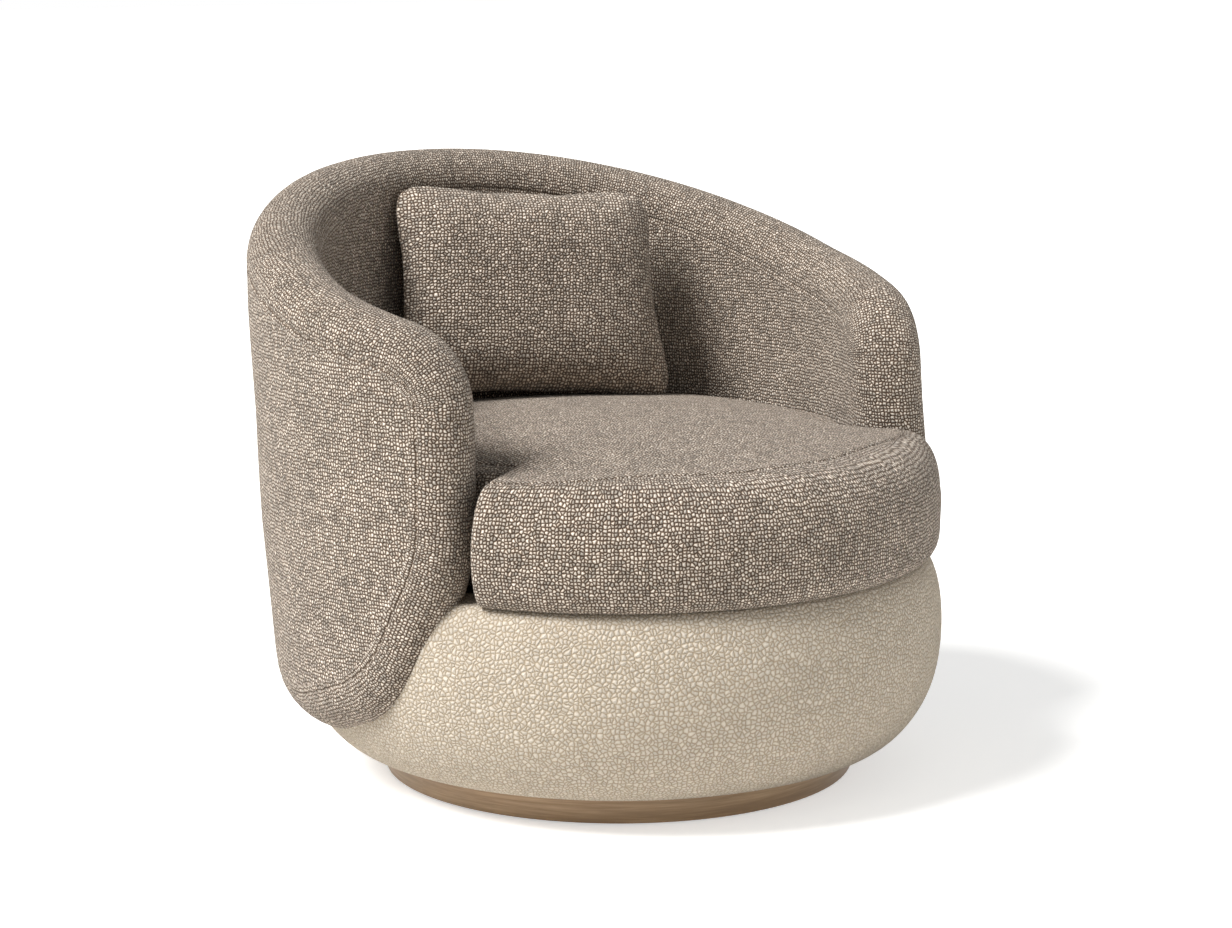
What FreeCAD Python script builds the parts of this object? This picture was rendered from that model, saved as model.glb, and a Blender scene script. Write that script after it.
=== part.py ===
import FreeCAD, Part
import math
import os

# Swivel barrel chair, millimetres.
# Z is up, the front faces -Y, the origin lies on the swivel axis at floor level.

Vec = FreeCAD.Vector
UP = Vec(0, 0, 1)
FAR = 1000.0

# Overall sizes
SHELL_RADIUS = 406.0
BACK_HEIGHT = 708.0
RING_TOP = 252.0
SEAT_CROWN_HEIGHT = 406.0

# Wrap-around shell
SHELL_THICKNESS = 86.0
SKIRT_THICKNESS = 34.0
LEAN_SHIFT = 63.0
LEAN_START_Z = 115.0
LEAN_END_Z = 552.0
FOOT_SHIFT = -2.0
BELLY_Z = 150.0
BOWL_DRAW = 80.0
NECK_DRAW = 4.0
NECK_Z = 300.0
NECK_LENGTH = 125.0
OUTER_ROLL = 38.0
INNER_ROLL = 38.0
SEAM_INSET = 41.0
CORE_DEPTH = 13.0
CORE_THICKNESS = 12.0
CORE_INSET = 22.0
FABRIC = 3.0

# Side outline of the shell: where its rim lies seen from the side
ARM_MID_Y = 60.0
ARM_HEIGHT = 592.0
ARM_TIP_Y = -158.0
ARM_TIP_HEIGHT = 548.0
WING_FRONT_Y = -178.0
WING_FRONT_Z = 292.0
WING_LOW_Y = -112.0
WING_LOW_Z = 132.0
WING_HEEL_Z = 76.0
BACK_LOW_Z = 66.0
TOP_BEND_RADIUS = 500.0
TIP_RADIUS = 100.0
WING_RADIUS = 190.0
HEEL_RADIUS = 150.0
SOLE_RADIUS = 300.0

# Round base under the seat
BASE_RADIUS = SHELL_RADIUS - 22.0
BASE_FLAT_RADIUS = BASE_RADIUS - 88.0
BASE_BOTTOM = 37.0
BASE_BELLY_Z = 176.0
BASE_TOP = RING_TOP + 9.0
BASE_TOP_ROLL = 28.0
COVER_HEM_RADIUS = BASE_FLAT_RADIUS - 34.0
DECK_RADIUS = BASE_RADIUS - 81.0

# Timber frame inside the base
BOARD_RADIUS = BASE_FLAT_RADIUS + 22.0
BOARD_BOTTOM = 46.0
BOARD_THICKNESS = 12.0
DRUM_RADIUS = BOARD_RADIUS - 4.0
DRUM_WALL = 8.0
RING_RADIUS = BASE_RADIUS - 36.0
RING_INNER_RADIUS = RING_RADIUS - 90.0
RING_THICKNESS = 14.0
POST_COUNT = 6
POST_SIDE = 38.0
POST_RADIUS = DRUM_RADIUS - DRUM_WALL - POST_SIDE / 2 - 8.0
BLOCK_ANGLES = (-80.0, -40.0, 0.0, 40.0, 80.0)
BLOCK_WIDTH = 60.0
BLOCK_LOW_Z = 104.0
BLOCK_HIGH_Z = 204.0
BOLT_LEVELS = (128.0, 180.0)

# Seat webbing and deck
STRAP_COUNT = 5
STRAP_WIDTH = 50.0
STRAP_PITCH = 100.0
STRAP_THICKNESS = 1.2
DECK_CLOTH = 0.8

# Seat cushion
CUSHION_RADIUS = SHELL_RADIUS - 26.0
CUSHION_SEAT_GAP = 0.3
CUSHION_WALL_GAP = 7.0
CUSHION_EAR_GAP = 8.0
CUSHION_BELLY_Z = BASE_TOP + 61.0
CUSHION_FOOT_ROLL = 26.0
CUSHION_EDGE_ROLL = 52.0
CUSHION_CROWN = 22.0
CUSHION_CROWN_FLAT = 30.0
CUSHION_TOP_SEAM_Z = SEAT_CROWN_HEIGHT - 48.0
CUSHION_LOW_SEAM_Z = BASE_TOP + 22.0

# Scatter pillow
PILLOW_WIDTH = 345.0
PILLOW_HEIGHT = 272.0
PILLOW_THICKNESS = 118.0
PILLOW_CORNER = 34.0
PILLOW_DRAW_IN = 9.0
PILLOW_FABRIC = 2.5
PILLOW_CENTRE = Vec(62.9, 263.0, 533.6)
PILLOW_YAW = -22.0
PILLOW_LEAN = 13.0
PILLOW_ROLL = 3.0

# Plinth
PLINTH_RADIUS = BASE_RADIUS - 105.0
PLINTH_WALL = 16.0
PLINTH_BOTTOM = 3.0
PLINTH_TOP = 34.0
PLINTH_EDGE = 1.5
PLINTH_BOARD_BOTTOM = 6.0
PLINTH_BOARD_THICKNESS = 12.0
GLIDE_COUNT = 6
GLIDE_RADIUS = 14.0
GLIDE_CIRCLE = PLINTH_RADIUS - 40.0
GLIDE_STUD_RADIUS = 2.0
GLIDE_STUD_LENGTH = 8.0

# Swivel bearing
PLATE_THICKNESS = 3.0
LOWER_PLATE_SIDE = 200.0
UPPER_PLATE_SIDE = 150.0
PLATE_CORNER = 14.0
LOWER_SCREW_OFFSET = 85.0
UPPER_BOLT_OFFSET = 62.0
ACCESS_HOLE_RADIUS = 8.0
RACE_RADIUS = 60.0
RACE_HALF_WIDTH = 12.0
BALL_RADIUS = 4.0
BALL_COUNT = 18
BALL_PLAY = 0.05
RACE_GAP = 2.0
CAGE_THICKNESS = 1.6
CAGE_HALF_WIDTH = 10.5
POCKET_PLAY = 0.1
PIN_RADIUS = 6.0
PIN_PLAY = 0.05
PIN_FLANGE_RADIUS = 11.0
PIN_FLANGE_THICKNESS = 2.5
PIN_WASHER_RADIUS = 12.0
PIN_WASHER_THICKNESS = 2.0
PIN_WASHER_PLAY = 0.1
PIN_NUT_RADIUS = 10.0
PIN_NUT_THICKNESS = 6.0
PIN_END = 1.5
PIN_WELL_RADIUS = 22.0

# Fasteners
SCREW_RADIUS = 2.0
SCREW_HEAD_RADIUS = 4.5
SCREW_HEAD_HEIGHT = 3.0
PAN_HEAD_HEIGHT = 2.5
PLATE_SCREW_LENGTH = 10.0
POST_SCREW_LENGTH = 44.0
BOLT_RADIUS = 4.0
BOLT_HEAD_RADIUS = 7.0
BOLT_HEAD_HEIGHT = 4.0
WASHER_RADIUS = 9.0
WASHER_THICKNESS = 1.6
TEE_FLANGE_RADIUS = 11.0
TEE_FLANGE_THICKNESS = 1.5
TEE_BARREL_RADIUS = 5.0
TEE_BARREL_LENGTH = 8.0
BOLT_TAIL = 2.0


# Basic solids

def cylinder(radius, z_low, z_high, x=0.0, y=0.0):
    return Part.makeCylinder(radius, z_high - z_low, Vec(x, y, z_low), UP)


def ring(outer, inner, z_low, z_high):
    return cylinder(outer, z_low, z_high).cut(cylinder(inner, z_low - 1, z_high + 1))


def block(width, depth, z_low, z_high, x=0.0, y=0.0):
    return Part.makeBox(width, depth, z_high - z_low, Vec(x - width / 2, y - depth / 2, z_low))


def below(z):
    return block(2 * FAR, 2 * FAR, z - FAR, z)


def above(z):
    return block(2 * FAR, 2 * FAR, z, z + FAR)


def lathe(edges):
    return Part.Face(Part.Wire(edges)).revolve(Vec(0, 0, 0), UP, 360)


def lathe_points(points):
    return lathe(Part.makePolygon([Vec(r, 0, z) for r, z in points + points[:1]]).Edges)


def turned(shape, angle):
    copy = shape.copy()
    copy.rotate(Vec(0, 0, 0), UP, angle)
    return copy


def around(shape, angles):
    return Part.makeCompound([turned(shape, angle) for angle in angles])


def evenly(count, start=0.0):
    return [start + 360.0 * i / count for i in range(count)]


def square_corners(offset):
    return [(sx * offset, sy * offset) for sx in (-1, 1) for sy in (-1, 1)]


def moved(shape, x, y):
    copy = shape.copy()
    copy.translate(Vec(x, y, 0))
    return copy


def cut_each(shape, tools):
    """Cuts with one solid at a time, for thin shells pierced in many places."""
    for tool in tools:
        for solid in tool.Solids:
            shape = shape.cut(solid)
    return shape


def cut_all(shape, tools):
    solids = [solid for tool in tools for solid in tool.Solids]
    return shape.cut(solids)


def line(p, q):
    return Part.LineSegment(p, q).toShape()


def rounded_wire(corners, radii):
    """Closed wire of straight lines with a rounded corner where the radius is not zero."""
    ends = []
    for i, corner in enumerate(corners):
        if radii[i] == 0:
            ends.append((corner, corner, None))
            continue
        before = (corners[i - 1] - corner).normalize()
        after = (corners[(i + 1) % len(corners)] - corner).normalize()
        half = before.getAngle(after) / 2
        reach = radii[i] / math.tan(half)
        centre = corner + (before + after).normalize() * (radii[i] / math.sin(half))
        middle = centre + (corner - centre).normalize() * radii[i]
        ends.append((corner + before * reach, corner + after * reach, middle))
    edges = []
    for i, (start, end, middle) in enumerate(ends):
        if middle is not None:
            edges.append(Part.Arc(start, middle, end).toShape())
        edges.append(line(end, ends[(i + 1) % len(ends)][0]))
    return Part.Wire(edges)


def elliptic_arc(centre_r, centre_z, half_r, half_z, start, end):
    """Arc in the XZ plane, angles in degrees from the outward direction."""
    steps = 8
    points = []
    for i in range(steps + 1):
        angle = math.radians(start + (end - start) * i / steps)
        points.append(Vec(centre_r + half_r * math.cos(angle), 0, centre_z + half_z * math.sin(angle)))
    curve = Part.BSplineCurve()
    curve.interpolate(points)
    return curve.toShape()


# Shell

def shell_shift(z):
    """How far back the centre of the shell's circle lies at a height."""
    t = min(max((z - LEAN_START_Z) / (LEAN_END_Z - LEAN_START_Z), 0.0), 1.0)
    return FOOT_SHIFT + LEAN_SHIFT * (t + math.sin(math.pi / 2 * t)) / 2


def shell_radius(z):
    """Outer radius of the shell at a height."""
    bowl = max(BELLY_Z - z, 0.0) / BELLY_Z
    neck = min(max((z - NECK_Z) / NECK_LENGTH, 0.0), 1.0)
    return SHELL_RADIUS - BOWL_DRAW * bowl ** 2 - NECK_DRAW * neck


def shell_tube(depth):
    """Solid inside the shell's outer surface moved inward by a depth."""
    levels = (30.0, 70.0, 110.0, 150.0, 205.0, 280.0, 360.0, 450.0, LEAN_END_Z, 640.0, BACK_HEIGHT + 60.0)
    circles = []
    for z in levels:
        circle = Part.makeCircle(shell_radius(z) - depth, Vec(0, shell_shift(z), z), UP)
        circles.append(Part.Wire(circle))
    return Part.makeLoft(circles, True, False)


def shell_prism(inset):
    """Side outline of the shell, moved inward by an inset and drawn out across the chair."""
    beyond = SHELL_RADIUS + 150.0
    slope = (BACK_HEIGHT - ARM_HEIGHT) / (SHELL_RADIUS + LEAN_SHIFT + FOOT_SHIFT - ARM_MID_Y)
    corners = [
        (beyond, ARM_HEIGHT + slope * (beyond - ARM_MID_Y)),
        (ARM_MID_Y, ARM_HEIGHT),
        (ARM_TIP_Y, ARM_TIP_HEIGHT),
        (WING_FRONT_Y, WING_FRONT_Z),
        (WING_LOW_Y, WING_LOW_Z),
        (ARM_MID_Y, WING_HEEL_Z),
        (beyond, BACK_LOW_Z),
    ]
    radii = (0, TOP_BEND_RADIUS, TIP_RADIUS, WING_RADIUS, HEEL_RADIUS, SOLE_RADIUS, 0)
    wire = rounded_wire([Vec(-FAR / 2, y, z) for y, z in corners], radii)
    if inset != 0:
        wire = wire.makeOffset2D(-inset)
    return Part.Face(wire).extrude(Vec(FAR, 0, 0))


def rim_edges(solid, outer):
    """Edges where the outer or the inner wall of the shell meets its rim."""
    found = []
    for edge in solid.Edges:
        point = edge.valueAt((edge.FirstParameter + edge.LastParameter) / 2)
        faces = solid.ancestorsOfType(edge, Part.Face)
        walls = [face for face in faces if face.Surface.TypeId == "Part::GeomBSplineSurface"]
        if len(walls) != 1:
            continue
        away = math.hypot(point.x, point.y - shell_shift(point.z))
        if (away > shell_radius(point.z) - SHELL_THICKNESS / 2) == outer:
            found.append(edge)
    return found


def shell_body(inset):
    """Full thickness of the shell with its rolled rim, all faces moved inward by an inset."""
    wall = shell_tube(inset).cut(shell_tube(SHELL_THICKNESS - inset))
    body = wall.common(shell_prism(inset))
    body = body.makeFillet(OUTER_ROLL - inset, rim_edges(body, True))
    return body.makeFillet(INNER_ROLL - inset, rim_edges(body, False))


def shell_parts(frame_space, blocks, bolts, tees):
    """Fabric, foam and moulded core of the wrap-around shell."""
    outside = shell_body(0.0)
    inside = shell_body(FABRIC)
    full = outside.cut(frame_space)
    padding = inside.cut(frame_space)
    cover = outside.cut(inside).cut(frame_space)
    panel_outline = shell_prism(SEAM_INSET)
    middle = shell_tube(SHELL_THICKNESS / 2)
    panels = cover.common(panel_outline)
    core_outside = shell_tube(CORE_DEPTH)
    core = core_outside.cut(shell_tube(CORE_DEPTH + CORE_THICKNESS))
    core = core.common(shell_prism(CORE_INSET))
    hardware = [bolts, tees]
    return {
        "shell_outside_panel": panels.cut(middle),
        "shell_inside_panel": panels.common(middle),
        "shell_edge_band": cover.cut(panel_outline),
        "shell_outer_foam": cut_all(padding.cut(core_outside), hardware),
        "shell_inner_foam": cut_all(padding.common(core_outside).cut(core), hardware + [blocks]),
        "shell_core": cut_each(core, hardware),
    }, full


# Base drum

def base_body(inset):
    """Bowl-bottomed round base with rolled top edge, moved inward by an inset."""
    flat = BASE_FLAT_RADIUS
    low = BASE_BOTTOM + inset
    high = BASE_TOP - inset
    belly = BASE_RADIUS - inset
    shoulder = BASE_RADIUS - BASE_TOP_ROLL
    edges = [
        line(Vec(0, 0, low), Vec(flat, 0, low)),
        elliptic_arc(flat, BASE_BELLY_Z, belly - flat, BASE_BELLY_Z - low, -90, 0),
        elliptic_arc(shoulder, BASE_BELLY_Z, belly - shoulder, high - BASE_BELLY_Z, 0, 90),
        line(Vec(shoulder, 0, high), Vec(0, 0, high)),
        line(Vec(0, 0, high), Vec(0, 0, low)),
    ]
    return lathe(edges)


def frame_envelope():
    """Space taken by the timber frame, the bearing well and the deck."""
    board_top = BOARD_BOTTOM + BOARD_THICKNESS
    ring_bottom = RING_TOP - RING_THICKNESS
    return lathe_points([
        (0, 0),
        (COVER_HEM_RADIUS, 0),
        (COVER_HEM_RADIUS, BOARD_BOTTOM),
        (BOARD_RADIUS, BOARD_BOTTOM),
        (BOARD_RADIUS, board_top),
        (DRUM_RADIUS, board_top),
        (DRUM_RADIUS, ring_bottom),
        (RING_RADIUS, ring_bottom),
        (RING_RADIUS, RING_TOP),
        (DECK_RADIUS, RING_TOP),
        (DECK_RADIUS, BASE_TOP + 1),
        (0, BASE_TOP + 1),
    ])


def countersunk_screw(length, z, direction):
    """Screw on the Z axis with its flat head at z, pointing up (1) or down (-1)."""
    head = Part.makeCone(SCREW_HEAD_RADIUS, SCREW_RADIUS, SCREW_HEAD_HEIGHT, Vec(0, 0, z), UP * direction)
    shank = Part.makeCylinder(SCREW_RADIUS, length, Vec(0, 0, z), UP * direction)
    return head.fuse(shank).removeSplitter()


def mount_bolt_set(angle, z):
    """Bolt, washer and tee nut that hold the shell core to the drum, at an angle from the back."""
    core_inside = shell_radius(z) - CORE_DEPTH - CORE_THICKNESS
    shift = shell_shift(z) * math.cos(math.radians(angle))
    side = shell_shift(z) * math.sin(math.radians(angle))
    core_inside = shift + math.sqrt(core_inside ** 2 - side ** 2)
    core_outside = core_inside + CORE_THICKNESS
    out = Vec(math.sin(math.radians(angle)), math.cos(math.radians(angle)), 0)
    inner_face = math.sqrt((DRUM_RADIUS - DRUM_WALL) ** 2 - WASHER_RADIUS ** 2)

    def rod(radius, start, end):
        return Part.makeCylinder(radius, end - start, out * start + UP * z, out)

    head_base = inner_face - WASHER_THICKNESS
    bolt = rod(BOLT_HEAD_RADIUS, head_base - BOLT_HEAD_HEIGHT, head_base)
    bolt = bolt.fuse(rod(BOLT_RADIUS, head_base, core_outside + TEE_FLANGE_THICKNESS + BOLT_TAIL))
    washer = rod(WASHER_RADIUS, head_base, inner_face)
    tee = rod(TEE_FLANGE_RADIUS, core_outside, core_outside + TEE_FLANGE_THICKNESS)
    tee = tee.fuse(rod(TEE_BARREL_RADIUS, core_outside - TEE_BARREL_LENGTH, core_outside))
    return bolt.removeSplitter(), washer.cut(bolt), tee.cut(bolt)


def shell_mounting():
    """Bolts, washers, tee nuts and spacer blocks between drum and shell core."""
    sets = [mount_bolt_set(angle, z) for angle in BLOCK_ANGLES for z in BOLT_LEVELS]
    bolts, washers, tees = [Part.makeCompound(list(kind)) for kind in zip(*sets)]
    core_face = shell_tube(CORE_DEPTH + CORE_THICKNESS)
    reach = DRUM_RADIUS + SHELL_THICKNESS
    blank = block(BLOCK_WIDTH, reach, BLOCK_LOW_Z, BLOCK_HIGH_Z, 0, reach / 2)
    blanks = around(blank, [-angle for angle in BLOCK_ANGLES])
    drum = cylinder(DRUM_RADIUS, BLOCK_LOW_Z - 1, BLOCK_HIGH_Z + 1)
    blocks = [solid.cut(drum).common(core_face).Solids[0] for solid in blanks.Solids]
    return bolts, washers, tees, Part.makeCompound(blocks)


def base_parts(shell_full, blocks, bolts):
    """Upholstery and timber frame of the base."""
    board_top = BOARD_BOTTOM + BOARD_THICKNESS
    ring_bottom = RING_TOP - RING_THICKNESS
    hem_well = cylinder(COVER_HEM_RADIUS, 0, BOARD_BOTTOM)
    deck_well = cylinder(DECK_RADIUS, ring_bottom, BASE_TOP + 1)
    cover = cut_all(base_body(0.0).cut(base_body(FABRIC)), [hem_well, deck_well, shell_full, blocks])
    cover = max(cover.Solids, key=lambda solid: solid.Volume)
    foam = cut_all(base_body(FABRIC), [frame_envelope(), shell_full, blocks, bolts])
    post_angles = evenly(POST_COUNT, 20.0)
    post = block(POST_SIDE, POST_SIDE, board_top, ring_bottom, POST_RADIUS, 0)
    low_screw = moved(countersunk_screw(POST_SCREW_LENGTH, BOARD_BOTTOM, 1), POST_RADIUS, 0)
    high_screw = moved(countersunk_screw(POST_SCREW_LENGTH, RING_TOP, -1), POST_RADIUS, 0)
    low_screws = around(low_screw, post_angles)
    high_screws = around(high_screw, post_angles)
    screws = [low_screws, high_screws]
    well = cylinder(PIN_WELL_RADIUS, BOARD_BOTTOM - 1, board_top + 1)
    upper_bolts, upper_tees = upper_plate_fixings()
    board = cylinder(BOARD_RADIUS, BOARD_BOTTOM, board_top)
    return {
        "base_cover": cover,
        "base_foam": foam,
        "base_board": cut_all(board, [well, low_screws, upper_bolts, upper_tees]),
        "drum_wall": ring(DRUM_RADIUS, DRUM_RADIUS - DRUM_WALL, board_top, ring_bottom).cut(bolts),
        "drum_posts": cut_all(around(post, post_angles), screws),
        "seat_ring": ring(RING_RADIUS, RING_INNER_RADIUS, ring_bottom, RING_TOP).cut(high_screws),
        "post_screws_lower": low_screws,
        "post_screws_upper": high_screws,
        "base_board_bolts": upper_bolts,
        "base_board_tee_nuts": upper_tees,
    }


def dust_cover():
    """Thin cloth ring under the base board, around the bearing."""
    cloth = ring(COVER_HEM_RADIUS, UPPER_PLATE_SIDE / 2 * math.sqrt(2) + 4.0, BOARD_BOTTOM - 0.6, BOARD_BOTTOM)
    return {"dust_cover": cloth}


def seat_deck():
    """Two layers of webbing, a thin pad and the deck cloth over them."""
    disc = cylinder(DECK_RADIUS - 3.0, RING_TOP - 1, BASE_TOP)
    offsets = [STRAP_PITCH * (i - (STRAP_COUNT - 1) / 2) for i in range(STRAP_COUNT)]
    middle = RING_TOP + STRAP_THICKNESS
    top = middle + STRAP_THICKNESS
    cross = [block(2 * DECK_RADIUS, STRAP_WIDTH, RING_TOP, middle, 0, y).common(disc) for y in offsets]
    long = [block(STRAP_WIDTH, 2 * DECK_RADIUS, middle, top, x, 0).common(disc) for x in offsets]
    return {
        "seat_webbing_cross": Part.makeCompound(cross),
        "seat_webbing_long": Part.makeCompound(long),
        "deck_pad": cylinder(DECK_RADIUS, top, BASE_TOP - DECK_CLOTH),
        "deck_cloth": cylinder(DECK_RADIUS, BASE_TOP - DECK_CLOTH, BASE_TOP),
    }


# Cushions

def cushion_room(inset):
    """Room inside the shell with the cushion's rolled side edges, and the space before the wings."""
    edge = SEAT_CROWN_HEIGHT - CUSHION_CROWN - inset
    foot = BASE_TOP + CUSHION_SEAT_GAP + inset
    levels = (
        (foot - 1, 12.0),
        (foot + 8, 4.0),
        (foot + 24, 0.0),
        (edge - 24, 0.0),
        (edge - 10, 4.0),
        (edge + 2, 15.0),
        (edge + CUSHION_CROWN + 4, 45.0),
    )
    circles = []
    for z, draw in levels:
        radius = shell_radius(z) - SHELL_THICKNESS - CUSHION_WALL_GAP - inset - draw
        circles.append(Part.Wire(Part.makeCircle(radius, Vec(0, shell_shift(z), z), UP)))
    depth = FAR + WING_FRONT_Y - CUSHION_EAR_GAP - inset
    front = Part.makeBox(2 * FAR, depth, FAR, Vec(-FAR, -FAR, 0))
    return Part.makeLoft(circles, True, False).fuse(front)


def cushion_body(inset):
    """Crowned round seat cushion with a bullnose front, cut to the inside of the shell."""
    low = BASE_TOP + CUSHION_SEAT_GAP + inset
    edge_top = SEAT_CROWN_HEIGHT - CUSHION_CROWN - inset
    belly = CUSHION_RADIUS - inset
    foot = CUSHION_RADIUS - CUSHION_FOOT_ROLL
    shoulder = CUSHION_RADIUS - CUSHION_EDGE_ROLL
    crown_top = Vec(0, 0, SEAT_CROWN_HEIGHT - inset)
    crown_start = crown_top + Vec(CUSHION_CROWN_FLAT, 0, 0)
    crown_edge = Vec(shoulder, 0, edge_top)
    crown_half = (crown_start + crown_edge) * 0.5 + Vec(0, 0, CUSHION_CROWN / 4)
    edges = [
        line(Vec(0, 0, low), Vec(foot, 0, low)),
        elliptic_arc(foot, CUSHION_BELLY_Z, belly - foot, CUSHION_BELLY_Z - low, -90, 0),
        elliptic_arc(shoulder, CUSHION_BELLY_Z, belly - shoulder, edge_top - CUSHION_BELLY_Z, 0, 90),
        Part.Arc(crown_edge, crown_half, crown_start).toShape(),
        line(crown_start, crown_top),
        line(crown_top, Vec(0, 0, low)),
    ]
    return lathe(edges).common(cushion_room(inset))


def seat_cushion():
    """Foam block and the three sewn panels of the loose seat cushion."""
    foam = cushion_body(FABRIC)
    cover = cushion_body(0.0).cut(foam)
    return {
        "cushion_foam": foam,
        "cushion_top_panel": cover.common(above(CUSHION_TOP_SEAM_Z)),
        "cushion_side_band": cover.cut(above(CUSHION_TOP_SEAM_Z)).cut(below(CUSHION_LOW_SEAM_Z)),
        "cushion_bottom_panel": cover.common(below(CUSHION_LOW_SEAM_Z)),
    }


def pillow_outline(y, inset):
    """Square outline with rounded corners and drawn-in sides at one depth of the pillow."""
    half_w = PILLOW_WIDTH / 2 - inset
    half_h = PILLOW_HEIGHT / 2 - inset
    corner = PILLOW_CORNER * half_h / (PILLOW_HEIGHT / 2)
    draw = PILLOW_DRAW_IN * half_h / (PILLOW_HEIGHT / 2)
    diagonal = corner * (1 - math.sqrt(0.5))
    edges = []
    for x_sign, z_sign, across in ((1, 1, True), (1, -1, False), (-1, -1, True), (-1, 1, False)):
        tip = Vec(x_sign * half_w, y, z_sign * half_h)
        tangent_x = tip - Vec(x_sign * corner, 0, 0)
        tangent_z = tip - Vec(0, 0, z_sign * corner)
        middle = tip - Vec(x_sign * diagonal, 0, z_sign * diagonal)
        start, end = (tangent_x, tangent_z) if across else (tangent_z, tangent_x)
        edges.append(Part.Arc(start, middle, end).toShape())
        if across:
            side_middle = Vec(x_sign * (half_w - draw), y, 0)
            next_start = Vec(end.x, y, -end.z)
        else:
            side_middle = Vec(0, y, z_sign * (half_h - draw))
            next_start = Vec(-end.x, y, end.z)
        edges.append(Part.Arc(end, side_middle, next_start).toShape())
    return Part.Wire(edges)


def pillow_body(inset):
    """Puffed pillow, thick in the middle and thin along its seam, standing upright."""
    half = PILLOW_THICKNESS / 2 - inset
    rims = ((-1.0, 112.0), (-0.93, 82.0), (-0.74, 44.0), (-0.42, 13.0), (0.0, 0.0))
    rims = rims + tuple((-depth, rim) for depth, rim in reversed(rims[:-1]))
    wires = [pillow_outline(depth * half, rim + inset) for depth, rim in rims]
    body = Part.makeLoft(wires, True, False)
    body.rotate(Vec(0, 0, 0), Vec(0, 1, 0), PILLOW_ROLL)
    body.rotate(Vec(0, 0, 0), Vec(1, 0, 0), -PILLOW_LEAN)
    body.rotate(Vec(0, 0, 0), UP, PILLOW_YAW)
    body.translate(PILLOW_CENTRE)
    return body


def scatter_pillow():
    """Filling and the two sewn faces of the small pillow."""
    filling = pillow_body(PILLOW_FABRIC)
    cover = pillow_body(0.0).cut(filling)
    front_half = Part.makeBox(FAR, FAR, FAR, Vec(-FAR / 2, -FAR, -FAR / 2))
    front_half.rotate(Vec(0, 0, 0), Vec(1, 0, 0), -PILLOW_LEAN)
    front_half.rotate(Vec(0, 0, 0), UP, PILLOW_YAW)
    front_half.translate(PILLOW_CENTRE)
    return {
        "pillow_filling": filling,
        "pillow_front_panel": cover.common(front_half),
        "pillow_back_panel": cover.cut(front_half),
    }


# Plinth and swivel

def plate(side, z_low, z_high):
    corners = [Vec(x, y, z_low) for x, y in ((1, 1), (-1, 1), (-1, -1), (1, -1))]
    corners = [Vec(c.x * side / 2, c.y * side / 2, z_low) for c in corners]
    wire = rounded_wire(corners, [PLATE_CORNER] * 4)
    return Part.Face(wire).extrude(UP * (z_high - z_low))


def upper_plate_fixings():
    """Bolts from below through the upper plate into tee nuts on top of the base board."""
    board_top = BOARD_BOTTOM + BOARD_THICKNESS
    plate_bottom = BOARD_BOTTOM - PLATE_THICKNESS
    bolt = cylinder(BOLT_HEAD_RADIUS, plate_bottom - BOLT_HEAD_HEIGHT, plate_bottom)
    bolt = bolt.fuse(cylinder(BOLT_RADIUS, plate_bottom, board_top + TEE_FLANGE_THICKNESS + BOLT_TAIL))
    bolt = bolt.removeSplitter()
    tee = cylinder(TEE_FLANGE_RADIUS, board_top, board_top + TEE_FLANGE_THICKNESS)
    tee = tee.fuse(cylinder(TEE_BARREL_RADIUS, board_top - TEE_BARREL_LENGTH, board_top)).cut(bolt)
    places = square_corners(UPPER_BOLT_OFFSET)
    bolts = Part.makeCompound([moved(bolt, x, y) for x, y in places])
    tees = Part.makeCompound([moved(tee, x, y) for x, y in places])
    return bolts, tees


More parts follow.
